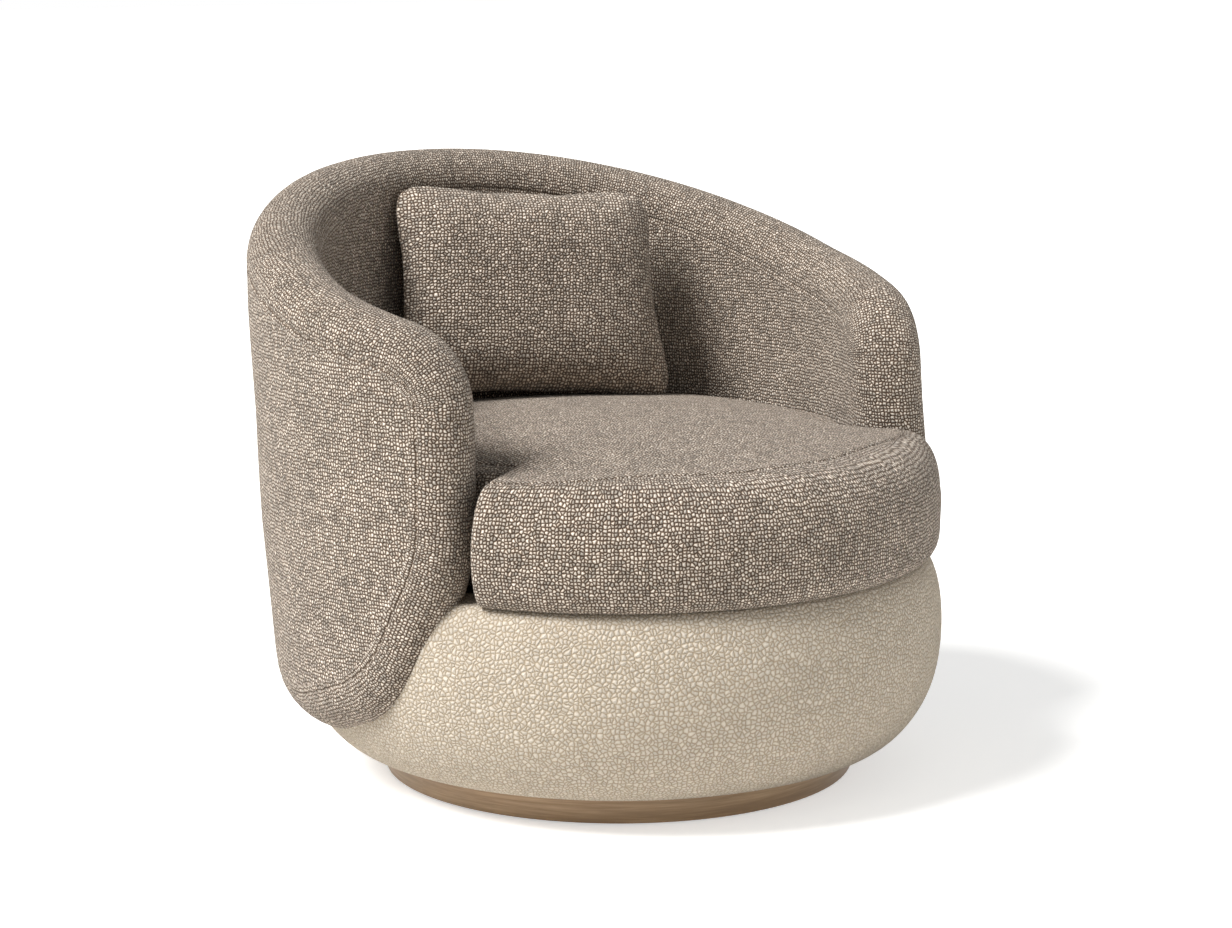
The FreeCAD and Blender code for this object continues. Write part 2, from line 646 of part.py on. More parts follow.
def bearing():
    """Two plates with grooved races, the ball cage, the balls and the king pin."""
    lower_bottom = PLINTH_BOARD_BOTTOM + PLINTH_BOARD_THICKNESS
    lower_top = lower_bottom + PLATE_THICKNESS
    upper_bottom = BOARD_BOTTOM - PLATE_THICKNESS
    ball_z = (lower_top + upper_bottom) / 2
    groove = Part.makeTorus(RACE_RADIUS, BALL_RADIUS + BALL_PLAY, Vec(0, 0, ball_z), UP)
    race_inner = RACE_RADIUS - RACE_HALF_WIDTH
    race_outer = RACE_RADIUS + RACE_HALF_WIDTH
    ball = Part.makeSphere(BALL_RADIUS, Vec(RACE_RADIUS, 0, ball_z))
    pocket = cylinder(BALL_RADIUS + POCKET_PLAY, 0, BOARD_BOTTOM, RACE_RADIUS, 0)
    cage = ring(RACE_RADIUS + CAGE_HALF_WIDTH, RACE_RADIUS - CAGE_HALF_WIDTH,
                ball_z - CAGE_THICKNESS / 2, ball_z + CAGE_THICKNESS / 2)
    washer_bottom = BOARD_BOTTOM + PIN_WASHER_PLAY
    nut_bottom = washer_bottom + PIN_WASHER_THICKNESS
    nut_top = nut_bottom + PIN_NUT_THICKNESS
    pin = cylinder(PIN_FLANGE_RADIUS, lower_bottom - PIN_FLANGE_THICKNESS, lower_bottom)
    pin = pin.fuse(cylinder(PIN_RADIUS, lower_bottom, nut_top + PIN_END)).removeSplitter()
    access = cylinder(ACCESS_HOLE_RADIUS, 0, BOARD_BOTTOM, UPPER_BOLT_OFFSET, UPPER_BOLT_OFFSET)
    screw = cylinder(SCREW_HEAD_RADIUS, lower_top, lower_top + PAN_HEAD_HEIGHT)
    screw = screw.fuse(cylinder(SCREW_RADIUS, lower_top - PLATE_SCREW_LENGTH, lower_top)).removeSplitter()
    screws = Part.makeCompound([moved(screw, x, y) for x, y in square_corners(LOWER_SCREW_OFFSET)])
    bolts, tees = upper_plate_fixings()
    nut = Part.Face(Part.makePolygon([
        Vec(PIN_NUT_RADIUS * math.cos(math.radians(a)), PIN_NUT_RADIUS * math.sin(math.radians(a)), nut_bottom)
        for a in range(0, 361, 60)])).extrude(UP * PIN_NUT_THICKNESS)
    return {
        "swivel_lower_plate": cut_all(plate(LOWER_PLATE_SIDE, lower_bottom, lower_top), [pin, access, screws]),
        "swivel_lower_race": ring(race_outer, race_inner, lower_top, ball_z - RACE_GAP / 2).cut(groove),
        "swivel_upper_race": ring(race_outer, race_inner, ball_z + RACE_GAP / 2, upper_bottom).cut(groove),
        "swivel_upper_plate": cut_all(plate(UPPER_PLATE_SIDE, upper_bottom, BOARD_BOTTOM), [
            cylinder(PIN_RADIUS + PIN_PLAY, 0, BOARD_BOTTOM + 1), bolts]),
        "ball_cage": cage.cut(around(pocket, evenly(BALL_COUNT))),
        "bearing_balls": around(ball, evenly(BALL_COUNT)),
        "king_pin": pin,
        "king_pin_washer": cylinder(PIN_WASHER_RADIUS, washer_bottom, nut_bottom).cut(pin),
        "king_pin_nut": nut.cut(pin),
        "lower_plate_screws": screws,
    }


def plinth(screws):
    """Turned timber ring, its board and the floor glides."""
    inner = PLINTH_RADIUS - PLINTH_WALL
    wall = ring(PLINTH_RADIUS, inner, PLINTH_BOTTOM, PLINTH_TOP)
    outer_rims = [edge for edge in wall.Edges if abs(edge.BoundBox.XMax - PLINTH_RADIUS) < 0.01
                  and edge.BoundBox.ZLength < 0.01]
    board_top = PLINTH_BOARD_BOTTOM + PLINTH_BOARD_THICKNESS
    board = cylinder(inner, PLINTH_BOARD_BOTTOM, board_top)
    glide = cylinder(GLIDE_RADIUS, 0, PLINTH_BOARD_BOTTOM, GLIDE_CIRCLE, 0)
    stud = cylinder(GLIDE_STUD_RADIUS, PLINTH_BOARD_BOTTOM, PLINTH_BOARD_BOTTOM + GLIDE_STUD_LENGTH, GLIDE_CIRCLE, 0)
    glides = around(glide.fuse(stud), evenly(GLIDE_COUNT))
    pin_recess = cylinder(PIN_FLANGE_RADIUS + 3, PLINTH_BOARD_BOTTOM - 1, board_top + 1)
    access = cylinder(ACCESS_HOLE_RADIUS, 0, BOARD_BOTTOM, UPPER_BOLT_OFFSET, UPPER_BOLT_OFFSET)
    return {
        "plinth_ring": wall.makeFillet(PLINTH_EDGE, outer_rims),
        "plinth_board": cut_all(board, [glides, pin_recess, access, screws]),
        "floor_glides": glides,
    }


def build():
    frame_space = shell_tube(SKIRT_THICKNESS).common(below(RING_TOP))
    bolts, washers, tees, blocks = shell_mounting()
    shell, shell_full = shell_parts(frame_space, blocks, bolts, tees)
    swivel = bearing()
    parts = {}
    parts.update(shell)
    parts.update(base_parts(shell_full, blocks, bolts))
    parts.update(dust_cover())
    parts.update(seat_deck())
    parts.update(seat_cushion())
    parts.update(scatter_pillow())
    parts.update(swivel)
    parts.update(plinth(swivel["lower_plate_screws"]))
    parts["shell_mount_blocks"] = blocks.cut(bolts)
    parts["shell_bolts"] = bolts
    parts["shell_bolt_washers"] = washers
    parts["shell_tee_nuts"] = tees
    return parts


def main():
    os.makedirs("parts", exist_ok=True)
    for name, shape in sorted(build().items()):
        shape.exportStep("parts/" + name + ".step")
        print(name, "solids", len(shape.Solids), "valid", shape.isValid(), "cm3", round(shape.Volume / 1000, 1))


main()
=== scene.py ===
import logging
import math
from dataclasses import dataclass
from enum import Enum
from typing import Optional, Sequence

import bmesh
import bpy
import numpy as np
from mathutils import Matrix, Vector
from mathutils.kdtree import KDTree


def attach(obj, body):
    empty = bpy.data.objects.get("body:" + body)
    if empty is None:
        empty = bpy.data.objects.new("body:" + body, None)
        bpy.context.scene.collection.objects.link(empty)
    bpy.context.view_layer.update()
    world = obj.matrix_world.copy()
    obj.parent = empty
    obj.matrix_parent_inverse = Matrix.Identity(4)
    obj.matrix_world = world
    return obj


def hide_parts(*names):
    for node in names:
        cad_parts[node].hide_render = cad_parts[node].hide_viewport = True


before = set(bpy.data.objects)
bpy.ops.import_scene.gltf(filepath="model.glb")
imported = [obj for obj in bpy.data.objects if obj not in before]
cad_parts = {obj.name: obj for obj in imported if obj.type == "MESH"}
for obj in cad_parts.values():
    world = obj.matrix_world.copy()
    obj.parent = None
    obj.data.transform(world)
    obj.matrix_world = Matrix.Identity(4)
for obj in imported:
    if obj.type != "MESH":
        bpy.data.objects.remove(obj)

LOG = logging.getLogger("barrel_chair")
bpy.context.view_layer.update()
MM = 0.001
WEAVE_UV = "Weave"


# ---------------------------------------------------------------- small helpers

def linear(hex_colour: str) -> tuple[float, float, float, float]:
    """Turns an sRGB hex colour into linear RGBA.

    Args:
        hex_colour: colour such as "#c8b9a6".

    Returns:
        Linear red, green, blue and an alpha of 1.
    """
    digits = hex_colour.lstrip("#")
    channels = [int(digits[i:i + 2], 16) / 255 for i in (0, 2, 4)]
    red, green, blue = [c / 12.92 if c <= 0.04045 else ((c + 0.055) / 1.055) ** 2.4 for c in channels]
    return red, green, blue, 1.0


def add_node(tree: bpy.types.NodeTree, kind: str, feeds: Optional[dict] = None,
             stops: Sequence[tuple[float, str]] = (), **settings: object) -> bpy.types.Node:
    """Adds a node, sets its properties and feeds its inputs.

    Args:
        tree: node tree that gets the node.
        kind: the node's type name.
        feeds: input name or index to a value or to an output socket.
        stops: positions and hex colours, for a colour ramp.
        settings: properties of the node itself.

    Returns:
        The new node.
    """
    node = tree.nodes.new(kind)
    for name, value in settings.items():
        setattr(node, name, value)
    for name, value in (feeds or {}).items():
        socket = node.inputs[name]
        if isinstance(value, bpy.types.NodeSocket):
            tree.links.new(value, socket)
        else:
            socket.default_value = value
    if stops:
        elements = node.color_ramp.elements
        while len(elements) < len(stops):
            elements.new(1.0)
        for element, (position, colour) in zip(elements, stops):
            element.position = position
            element.color = linear(colour)
    return node


def smooth_step(value: np.ndarray, low: float, high: float) -> np.ndarray:
    """Rises smoothly from 0 at low to 1 at high.

    Args:
        value: numbers to map.
        low: where the rise starts.
        high: where the rise ends.

    Returns:
        Numbers from 0 to 1.
    """
    t = np.clip((value - low) / (high - low), 0.0, 1.0)
    return t * t * (3 - 2 * t)


def ripple(points: np.ndarray, wavelength: float) -> np.ndarray:
    """Gentle unevenness of stuffed fabric, the same on every run.

    Args:
        points: positions in millimetres, one row each.
        wavelength: rough size of a swelling in millimetres.

    Returns:
        Numbers from about -1 to 1.
    """
    k = 2 * math.pi / wavelength
    x, y, z = points[:, 0], points[:, 1], points[:, 2]
    waves = np.sin(k * (0.9 * x + 0.4 * z) + 1.3) * np.cos(k * (0.7 * z - 0.5 * y) + 0.4)
    return 0.6 * waves + 0.4 * np.sin(k * (0.5 * x - 0.8 * y + 1.1 * z) + 2.1)


def resample(points: np.ndarray, count: int, closed: bool = False) -> np.ndarray:
    """Spreads points evenly along a line.

    Args:
        points: the line's points, one row each.
        count: number of spaces along the line.
        closed: whether the line returns to its start.

    Returns:
        count + 1 points, or count on a closed line.
    """
    line = np.vstack([points, points[:1]]) if closed else points
    length = np.concatenate([[0.0], np.cumsum(np.linalg.norm(np.diff(line, axis=0), axis=1))])
    at = np.linspace(0.0, length[-1], count + 1)
    even = np.stack([np.interp(at, length, line[:, i]) for i in range(line.shape[1])], axis=1)
    return even[:-1] if closed else even


def rounded_outline(corners: Sequence[tuple[float, float]], radii: Sequence[float],
                    step: float = 2.0) -> np.ndarray:
    """Open line of straight runs with an arc at each corner that has a radius.

    Args:
        corners: corner points.
        radii: one radius for each corner, 0 at the ends.
        step: spacing of the returned points.

    Returns:
        Points along the line.
    """
    out = [np.array(corners[0], float)]
    for i in range(1, len(corners) - 1):
        corner = np.array(corners[i], float)
        back = np.array(corners[i - 1], float) - corner
        ahead = np.array(corners[i + 1], float) - corner
        back /= np.linalg.norm(back)
        ahead /= np.linalg.norm(ahead)
        half = math.acos(float(np.clip(back @ ahead, -1, 1))) / 2
        bisector = (back + ahead) / np.linalg.norm(back + ahead)
        centre = corner + bisector * radii[i] / math.sin(half)
        start = corner + back * radii[i] / math.tan(half) - centre
        sweep = math.pi - 2 * half
        sweep = math.copysign(sweep, float(back[1] * ahead[0] - back[0] * ahead[1]))
        for t in np.linspace(0, sweep, 24):
            turn = np.array([[math.cos(t), -math.sin(t)], [math.sin(t), math.cos(t)]])
            out.append(centre + turn @ start)
    out.append(np.array(corners[-1], float))
    line = np.array(out)
    total = float(np.linalg.norm(np.diff(line, axis=0), axis=1).sum())
    return resample(line, int(total / step))


@dataclass
class Surface:
    """Mesh under construction: points in millimetres, faces, and fabric coordinates for each face corner."""

    points: np.ndarray
    faces: list[tuple[int, ...]]
    fabric: list[tuple[tuple[float, float], ...]]

    def build(self, name: str, material: bpy.types.Material) -> bpy.types.Object:
        """Makes the object, with its normals outward and its fabric coordinates in metres.

        Args:
            name: the piece's name.
            material: its finish.

        Returns:
            The finished object.
        """
        mesh = bpy.data.meshes.new(name)
        mesh.from_pydata((self.points * MM).tolist(), [], self.faces)
        layer = mesh.uv_layers.new(name=WEAVE_UV)
        flat = np.array([corner for face in self.fabric for corner in face]) * MM
        layer.data.foreach_set("uv", flat.ravel())
        work = bmesh.new()
        work.from_mesh(mesh)
        bmesh.ops.recalc_face_normals(work, faces=work.faces[:])
        work.to_mesh(mesh)
        work.free()
        mesh.polygons.foreach_set("use_smooth", [True] * len(mesh.polygons))
        mesh.materials.append(material)
        piece = bpy.data.objects.new(name, mesh)
        bpy.context.scene.collection.objects.link(piece)
        return piece


def loft(rings: np.ndarray, fabric: np.ndarray, first: int = 0) -> tuple[list, list]:
    """Quads between neighbouring closed rings of points.

    Args:
        rings: array of ring, point, xyz; only its shape is used.
        fabric: array of ring, point + 1, uv.
        first: index of the first ring's first point.

    Returns:
        Faces and the fabric coordinates of their corners.
    """
    faces, coords = [], []
    count, around = rings.shape[0], rings.shape[1]
    for j in range(count - 1):
        for i in range(around):
            k = (i + 1) % around
            a, b = first + j * around, first + (j + 1) * around
            faces.append((a + i, a + k, b + k, b + i))
            coords.append((tuple(fabric[j, i]), tuple(fabric[j, i + 1]),
                           tuple(fabric[j + 1, i + 1]), tuple(fabric[j + 1, i])))
    return faces, coords


# ---------------------------------------------------------------- finishes

class Grain(Enum):
    """Which way a wood's grain runs."""

    STRAIGHT = "straight"
    TURNED = "turned"


def blank_material(name: str) -> tuple[bpy.types.Material, bpy.types.NodeTree]:
    """Makes a material with an empty node tree."""
    made = bpy.data.materials.new(name)
    made.use_nodes = True
    made.node_tree.nodes.clear()
    return made, made.node_tree


@dataclass(frozen=True)
class PebbledCloth:
    """Heavy cloth whose face is rows of round wool nubs over a darker wool ground; the colour darkens towards
    the gaps between the nubs, partly for that ground and partly as painted shade in the gaps.
    """

    name: str
    pitch_mm: float
    scatter: float
    openness: float
    stops: tuple[tuple[float, str], ...]
    relief_mm: float
    wobble: float
    tone_spread: float
    sheen: float

    def material(self) -> bpy.types.Material:
        """Builds the node material.

        Returns:
            The material, reading the piece's fabric coordinates.
        """
        made, tree = blank_material(self.name)
        uv = add_node(tree, "ShaderNodeUVMap", uv_map=WEAVE_UV).outputs["UV"]
        cells = add_node(tree, "ShaderNodeVectorMath", {0: uv, "Scale": 1000 / self.pitch_mm},
                         operation="SCALE").outputs[0]
        drift = add_node(tree, "ShaderNodeTexNoise", {"Vector": cells, "Scale": 0.45, "Detail": 2.0},
                         noise_dimensions="2D").outputs["Color"]
        drift = add_node(tree, "ShaderNodeVectorMath", {0: drift, 1: (0.5, 0.5, 0.5)},
                         operation="SUBTRACT").outputs[0]
        drift = add_node(tree, "ShaderNodeVectorMath", {0: drift, "Scale": self.wobble},
                         operation="SCALE").outputs[0]
        cells = add_node(tree, "ShaderNodeVectorMath", {0: cells, 1: drift}, operation="ADD").outputs[0]
        nub = add_node(tree, "ShaderNodeTexVoronoi", {
            "Vector": cells, "Scale": 1.0, "Randomness": self.scatter}, voronoi_dimensions="2D")
        border = add_node(tree, "ShaderNodeTexVoronoi", {
            "Vector": cells, "Scale": 1.0, "Randomness": self.scatter},
            voronoi_dimensions="2D", feature="DISTANCE_TO_EDGE").outputs["Distance"]
        gap = add_node(tree, "ShaderNodeMath", {0: border, 1: -1.35, 2: self.openness},
                       operation="MULTIPLY_ADD").outputs[0]
        fibre = add_node(tree, "ShaderNodeTexNoise", {
            "Vector": cells, "Scale": 4.5, "Detail": 3.0, "Roughness": 0.65},
            noise_dimensions="2D").outputs["Fac"]
        fibre_shift = add_node(tree, "ShaderNodeMath", {0: fibre, 1: 0.24, 2: -0.12},
                               operation="MULTIPLY_ADD").outputs[0]
        spread = add_node(tree, "ShaderNodeMath", {0: gap, 1: fibre_shift},
                          operation="ADD").outputs[0]
        # The colour darkens towards the gaps between nubs, where the bump sinks the surface: partly the
        # darker ground, partly painted shade in the gaps.
        yarn_and_gap_shade = add_node(tree, "ShaderNodeValToRGB", {"Fac": spread}, stops=self.stops).outputs["Color"]
        patch = add_node(tree, "ShaderNodeTexNoise", {"Vector": cells, "Scale": 0.06, "Detail": 2.0},
                         noise_dimensions="2D").outputs["Fac"]
        single = add_node(tree, "ShaderNodeSeparateColor", {"Color": nub.outputs["Color"]}).outputs["Red"]
        both = add_node(tree, "ShaderNodeMath", {0: patch, 1: 0.35, 2: single},
                        operation="MULTIPLY_ADD").outputs[0]
        tone = add_node(tree, "ShaderNodeMapRange", {
            "Value": both, "From Min": 0.1, "From Max": 1.25,
            "To Min": 1.0 - self.tone_spread, "To Max": 1.0 + self.tone_spread * 0.6}).outputs["Result"]
        tone_colour = add_node(tree, "ShaderNodeCombineColor", {0: tone, 1: tone, 2: tone}).outputs[0]
        colour = add_node(tree, "ShaderNodeMix", {0: 1.0, 6: yarn_and_gap_shade, 7: tone_colour},
                          data_type="RGBA", blend_type="MULTIPLY").outputs[2]
        height = add_node(tree, "ShaderNodeMath", {0: spread, 1: -1.5, 2: 1.0},
                          operation="MULTIPLY_ADD").outputs[0]
        normal = add_node(tree, "ShaderNodeBump", {"Height": height, "Strength": 0.85,
                                                   "Distance": self.relief_mm * MM}).outputs["Normal"]
        shader = add_node(tree, "ShaderNodeBsdfPrincipled", {
            "Base Color": colour, "Normal": normal, "Roughness": 0.95, "IOR": 1.46,
            "Specular IOR Level": 0.2, "Sheen Weight": self.sheen, "Sheen Roughness": 0.55,
            "Sheen Tint": linear("#efe6da")})
        add_node(tree, "ShaderNodeOutputMaterial", {"Surface": shader.outputs[0]})
        return made


@dataclass(frozen=True)
class PlainCloth:
    """Thin technical cloth or webbing with a fine woven or pressed face."""

    name: str
    base: str
    dark: str
    grain_mm: float

    def material(self) -> bpy.types.Material:
        """Builds the node material from object coordinates."""
        made, tree = blank_material(self.name)
        place = add_node(tree, "ShaderNodeTexCoord").outputs["Object"]
        grain = add_node(tree, "ShaderNodeTexNoise", {"Vector": place, "Scale": 1000 / self.grain_mm,
                                                      "Detail": 2.0}).outputs["Fac"]
        colour = add_node(tree, "ShaderNodeValToRGB", {"Fac": grain},
                          stops=((0.35, self.dark), (0.65, self.base))).outputs["Color"]
        normal = add_node(tree, "ShaderNodeBump", {"Height": grain, "Strength": 0.4,
                                                   "Distance": 0.0003}).outputs["Normal"]
        shader = add_node(tree, "ShaderNodeBsdfPrincipled", {
            "Base Color": colour, "Normal": normal, "Roughness": 0.92, "Specular IOR Level": 0.2})
        add_node(tree, "ShaderNodeOutputMaterial", {"Surface": shader.outputs[0]})
        return made


@dataclass(frozen=True)
class Timber:
    """Sawn, peeled or turned wood with its grain along one direction."""

    name: str
    stops: tuple[tuple[float, str], ...]
    grain_mm: float
    stretch: float
    roughness: float
    coat: float
    grain: Grain = Grain.STRAIGHT

    def material(self) -> bpy.types.Material:
        """Builds the node material, with the grain round the axis on turned wood.

        Returns:
            The material.
        """
        made, tree = blank_material(self.name)
        place = add_node(tree, "ShaderNodeTexCoord").outputs["Object"]
        if self.grain is Grain.TURNED:
            split = add_node(tree, "ShaderNodeSeparateXYZ", {0: place})
            angle = add_node(tree, "ShaderNodeMath", {0: split.outputs["Y"], 1: split.outputs["X"]},
                             operation="ARCTAN2").outputs[0]
            along = add_node(tree, "ShaderNodeMath", {0: angle, 1: 0.279}, operation="MULTIPLY").outputs[0]
            place = add_node(tree, "ShaderNodeCombineXYZ", {
                "X": along, "Y": 0.0, "Z": split.outputs["Z"]}).outputs[0]
        fine = 1000 / self.grain_mm
        stretched = add_node(tree, "ShaderNodeVectorMath", {
            0: place, 1: (fine / self.stretch, fine, fine)}, operation="MULTIPLY").outputs[0]
        streaks = add_node(tree, "ShaderNodeTexNoise", {"Vector": stretched, "Scale": 1.0, "Detail": 5.0,
                                                        "Roughness": 0.62, "Distortion": 0.4}).outputs["Fac"]
        broad = add_node(tree, "ShaderNodeTexNoise", {
            "Vector": stretched, "Scale": 0.16, "Detail": 2.0}).outputs["Fac"]
        mixed = add_node(tree, "ShaderNodeMath", {0: broad, 1: 0.55, 2: 0.0},
                         operation="MULTIPLY_ADD").outputs[0]
        mixed = add_node(tree, "ShaderNodeMath", {0: streaks, 1: 0.45, 2: mixed},
                         operation="MULTIPLY_ADD").outputs[0]
        colour = add_node(tree, "ShaderNodeValToRGB", {"Fac": mixed}, stops=self.stops).outputs["Color"]
        rough = add_node(tree, "ShaderNodeMapRange", {
            "Value": streaks, "To Min": self.roughness - 0.08,
            "To Max": self.roughness + 0.1}).outputs["Result"]
        normal = add_node(tree, "ShaderNodeBump", {"Height": streaks, "Strength": 0.25,
                                                   "Distance": 0.0003}).outputs["Normal"]
        shader = add_node(tree, "ShaderNodeBsdfPrincipled", {
            "Base Color": colour, "Roughness": rough, "Normal": normal, "IOR": 1.5,
            "Coat Weight": self.coat, "Coat Roughness": 0.35})
        add_node(tree, "ShaderNodeOutputMaterial", {"Surface": shader.outputs[0]})
        return made


@dataclass(frozen=True)
class Metal:
    """Plated or polished steel with faint handling marks."""

    name: str
    colour: str
    roughness: float

    def material(self) -> bpy.types.Material:
        """Builds the node material from object coordinates."""
        made, tree = blank_material(self.name)
        place = add_node(tree, "ShaderNodeTexCoord").outputs["Object"]
        marks = add_node(tree, "ShaderNodeTexNoise", {
            "Vector": place, "Scale": 120.0, "Detail": 4.0}).outputs["Fac"]
        rough = add_node(tree, "ShaderNodeMapRange", {
            "Value": marks, "To Min": self.roughness - 0.07,
            "To Max": self.roughness + 0.09}).outputs["Result"]
        shader = add_node(tree, "ShaderNodeBsdfPrincipled", {
            "Base Color": linear(self.colour), "Metallic": 1.0, "Roughness": rough})
        add_node(tree, "ShaderNodeOutputMaterial", {"Surface": shader.outputs[0]})
        return made


@dataclass(frozen=True)
class Plastic:
    """Moulded nylon with a fine matt texture."""

    name: str
    colour: str

    def material(self) -> bpy.types.Material:
        """Builds the node material from object coordinates."""
        made, tree = blank_material(self.name)
        place = add_node(tree, "ShaderNodeTexCoord").outputs["Object"]
        grain = add_node(tree, "ShaderNodeTexNoise", {"Vector": place, "Scale": 900.0}).outputs["Fac"]
        normal = add_node(tree, "ShaderNodeBump", {"Height": grain, "Strength": 0.2,
                                                   "Distance": 0.0002}).outputs["Normal"]
        shader = add_node(tree, "ShaderNodeBsdfPrincipled", {
            "Base Color": linear(self.colour), "Roughness": 0.55, "Normal": normal, "IOR": 1.53})
        add_node(tree, "ShaderNodeOutputMaterial", {"Surface": shader.outputs[0]})
        return made


@dataclass
class Finishes:
    """One material for each of the chair's real materials."""

    def __post_init__(self) -> None:
        """Builds every material once."""
        # Coarse wool tweed in a plain weave of about 4 mm: pale nubs stand over a brown ground, and the
        # darkest stop is painted shade deep in the gaps between them.
        self.tweed = PebbledCloth(
            "wool_tweed", 4.1, 0.6, 0.65,
            ((0.0, "#ece4d9"), (0.26, "#cdc0b1"), (0.44, "#836f5d"), (0.6, "#3d3026")),
            1.7, 0.8, 0.5, 0.2).material()
        # Wool boucle with loops of about 5 mm: rounded cream pebbles with thin tan shadows between.
        self.boucle = PebbledCloth(
            "wool_boucle", 5.2, 0.95, 0.58,
            ((0.0, "#d6ccbe"), (0.32, "#c9bdac"), (0.5, "#ac9c86"), (0.68, "#86735d")),
            1.9, 1.0, 0.12, 0.2).material()
        # Spun polyester thread, a shade darker than the cloth it closes.
        self.thread = PlainCloth("polyester_thread", "#8f7c69", "#6f5d4d", 0.6).material()
        # Spun-bonded polypropylene: flat black with pressed specks.
        self.spunbond = PlainCloth("spunbond_cloth", "#24221f", "#131210", 1.2).material()
        # Rubber and jute webbing: coarse dull brown bands.
        self.webbing = PlainCloth("elastic_webbing", "#7c6a50", "#4b3e2d", 2.0).material()
        # Turned ash with a bronze-brown stain: dark horizontal grain with pale worn streaks.
        self.stained_ash = Timber(
            "stained_ash", ((0.3, "#7d6041"), (0.46, "#9a7b57"), (0.58, "#b39470"), (0.7, "#cdb28e")),
            2.6, 26.0, 0.42, 0.15, Grain.TURNED).material()
        # Birch plywood: pale face veneer with long soft grain.
        self.birch = Timber(
            "birch_plywood", ((0.3, "#b08d60"), (0.5, "#c9a878"), (0.7, "#dcc196")),
            3.0, 18.0, 0.6, 0.0).material()
        # Planed pine for the posts and blocks: yellow with darker rings.
        self.pine = Timber(
            "planed_pine", ((0.3, "#a97c46"), (0.5, "#c79b62"), (0.7, "#dbb682")),
            4.0, 14.0, 0.6, 0.0).material()
        # Zinc-plated pressed steel: dull grey with a soft sheen.
        self.zinc = Metal("zinc_plated_steel", "#a7a8a6", 0.42).material()
        # Hardened steel balls: mirror bright.
        self.ball_steel = Metal("bearing_steel", "#c4c6c8", 0.14).material()
        # Moulded nylon for the cage and the glides: near black and matt.
        self.nylon = Plastic("moulded_nylon", "#22211f").material()


# ---------------------------------------------------------------- settling of stuffed fabric

@dataclass
class ClothSettling:
    """Swells a closed soft shape with cloth under pressure and reads back how each place moved."""

    voxel: float = 9.0
    pressure: float = 4.0
    frames: int = 20
    cap: float = 22.0
    smoothing: int = 12

    def moves(self, surface: Surface, name: str) -> np.ndarray:
        """Simulates a coarse copy and carries its movement over to the fine points.

        Args:
            surface: the fine closed surface.
            name: name for the temporary object.
        """
        coarse = self._remeshed(surface, name)
        before = self._points(coarse.data)
        cloth = coarse.modifiers.new("Cloth", "CLOTH")
        cloth.settings.use_pressure = True
        cloth.settings.uniform_pressure_force = self.pressure
        cloth.settings.effector_weights.gravity = 0.0
        cloth.settings.quality = 6
        cloth.settings.mass = 0.4
        cloth.settings.tension_stiffness = 18.0
        cloth.settings.compression_stiffness = 18.0
        cloth.settings.bending_stiffness = 1.5
        cloth.point_cache.frame_start = 1
        cloth.point_cache.frame_end = self.frames
        for step in range(1, self.frames + 1):
            bpy.context.scene.frame_set(step)
        graph = bpy.context.evaluated_depsgraph_get()
        swollen = coarse.evaluated_get(graph)
        settled = self._points(swollen.to_mesh())
        swollen.to_mesh_clear()
        bpy.context.scene.frame_set(1)
        moved = settled - before
        length = np.linalg.norm(moved, axis=1, keepdims=True)
        moved = moved * np.minimum(1.0, self.cap / np.maximum(length, 1e-6))
        result = self._carried(before, moved, surface.points)
        bpy.data.objects.remove(coarse, do_unlink=True)
        return result

    def _remeshed(self, surface: Surface, name: str) -> bpy.types.Object:
        """Makes an even coarse copy of the surface for the simulation."""
        mesh = bpy.data.meshes.new(name)
        mesh.from_pydata((surface.points * MM).tolist(), [], surface.faces)
        raw = bpy.data.objects.new(name, mesh)
        bpy.context.scene.collection.objects.link(raw)
        even = raw.modifiers.new("Remesh", "REMESH")
        even.mode = "VOXEL"
        even.voxel_size = self.voxel * MM
        graph = bpy.context.evaluated_depsgraph_get()
        copy = bpy.data.meshes.new_from_object(raw.evaluated_get(graph))
        bpy.data.objects.remove(raw, do_unlink=True)
        made = bpy.data.objects.new(name, copy)
        bpy.context.scene.collection.objects.link(made)
        return made

    @staticmethod
    def _points(mesh: bpy.types.Mesh) -> np.ndarray:
        """Reads a mesh's points in millimetres."""
        flat = np.empty(len(mesh.vertices) * 3)
        mesh.vertices.foreach_get("co", flat)
        return flat.reshape(-1, 3) / MM

    def _carried(self, places: np.ndarray, moved: np.ndarray, points: np.ndarray) -> np.ndarray:
        """Averages the nearest coarse movements at each fine point.

        Args:
            places: coarse points before the simulation.
            moved: their movements.
            points: fine points.

        Returns:
            One movement for each fine point.
        """
        tree = KDTree(len(places))
        for i, place in enumerate(places):
            tree.insert(place, i)
        tree.balance()
        out = np.zeros_like(points)
        for i, point in enumerate(points):
            near = tree.find_n(point, self.smoothing)
            reach = 1.3 * self.voxel
            weights = np.array([math.exp(-(distance / reach) ** 2) + 1e-9 for _, _, distance in near])
            out[i] = weights @ moved[[index for _, index, _ in near]] / weights.sum()
        return out


# ---------------------------------------------------------------- stitches

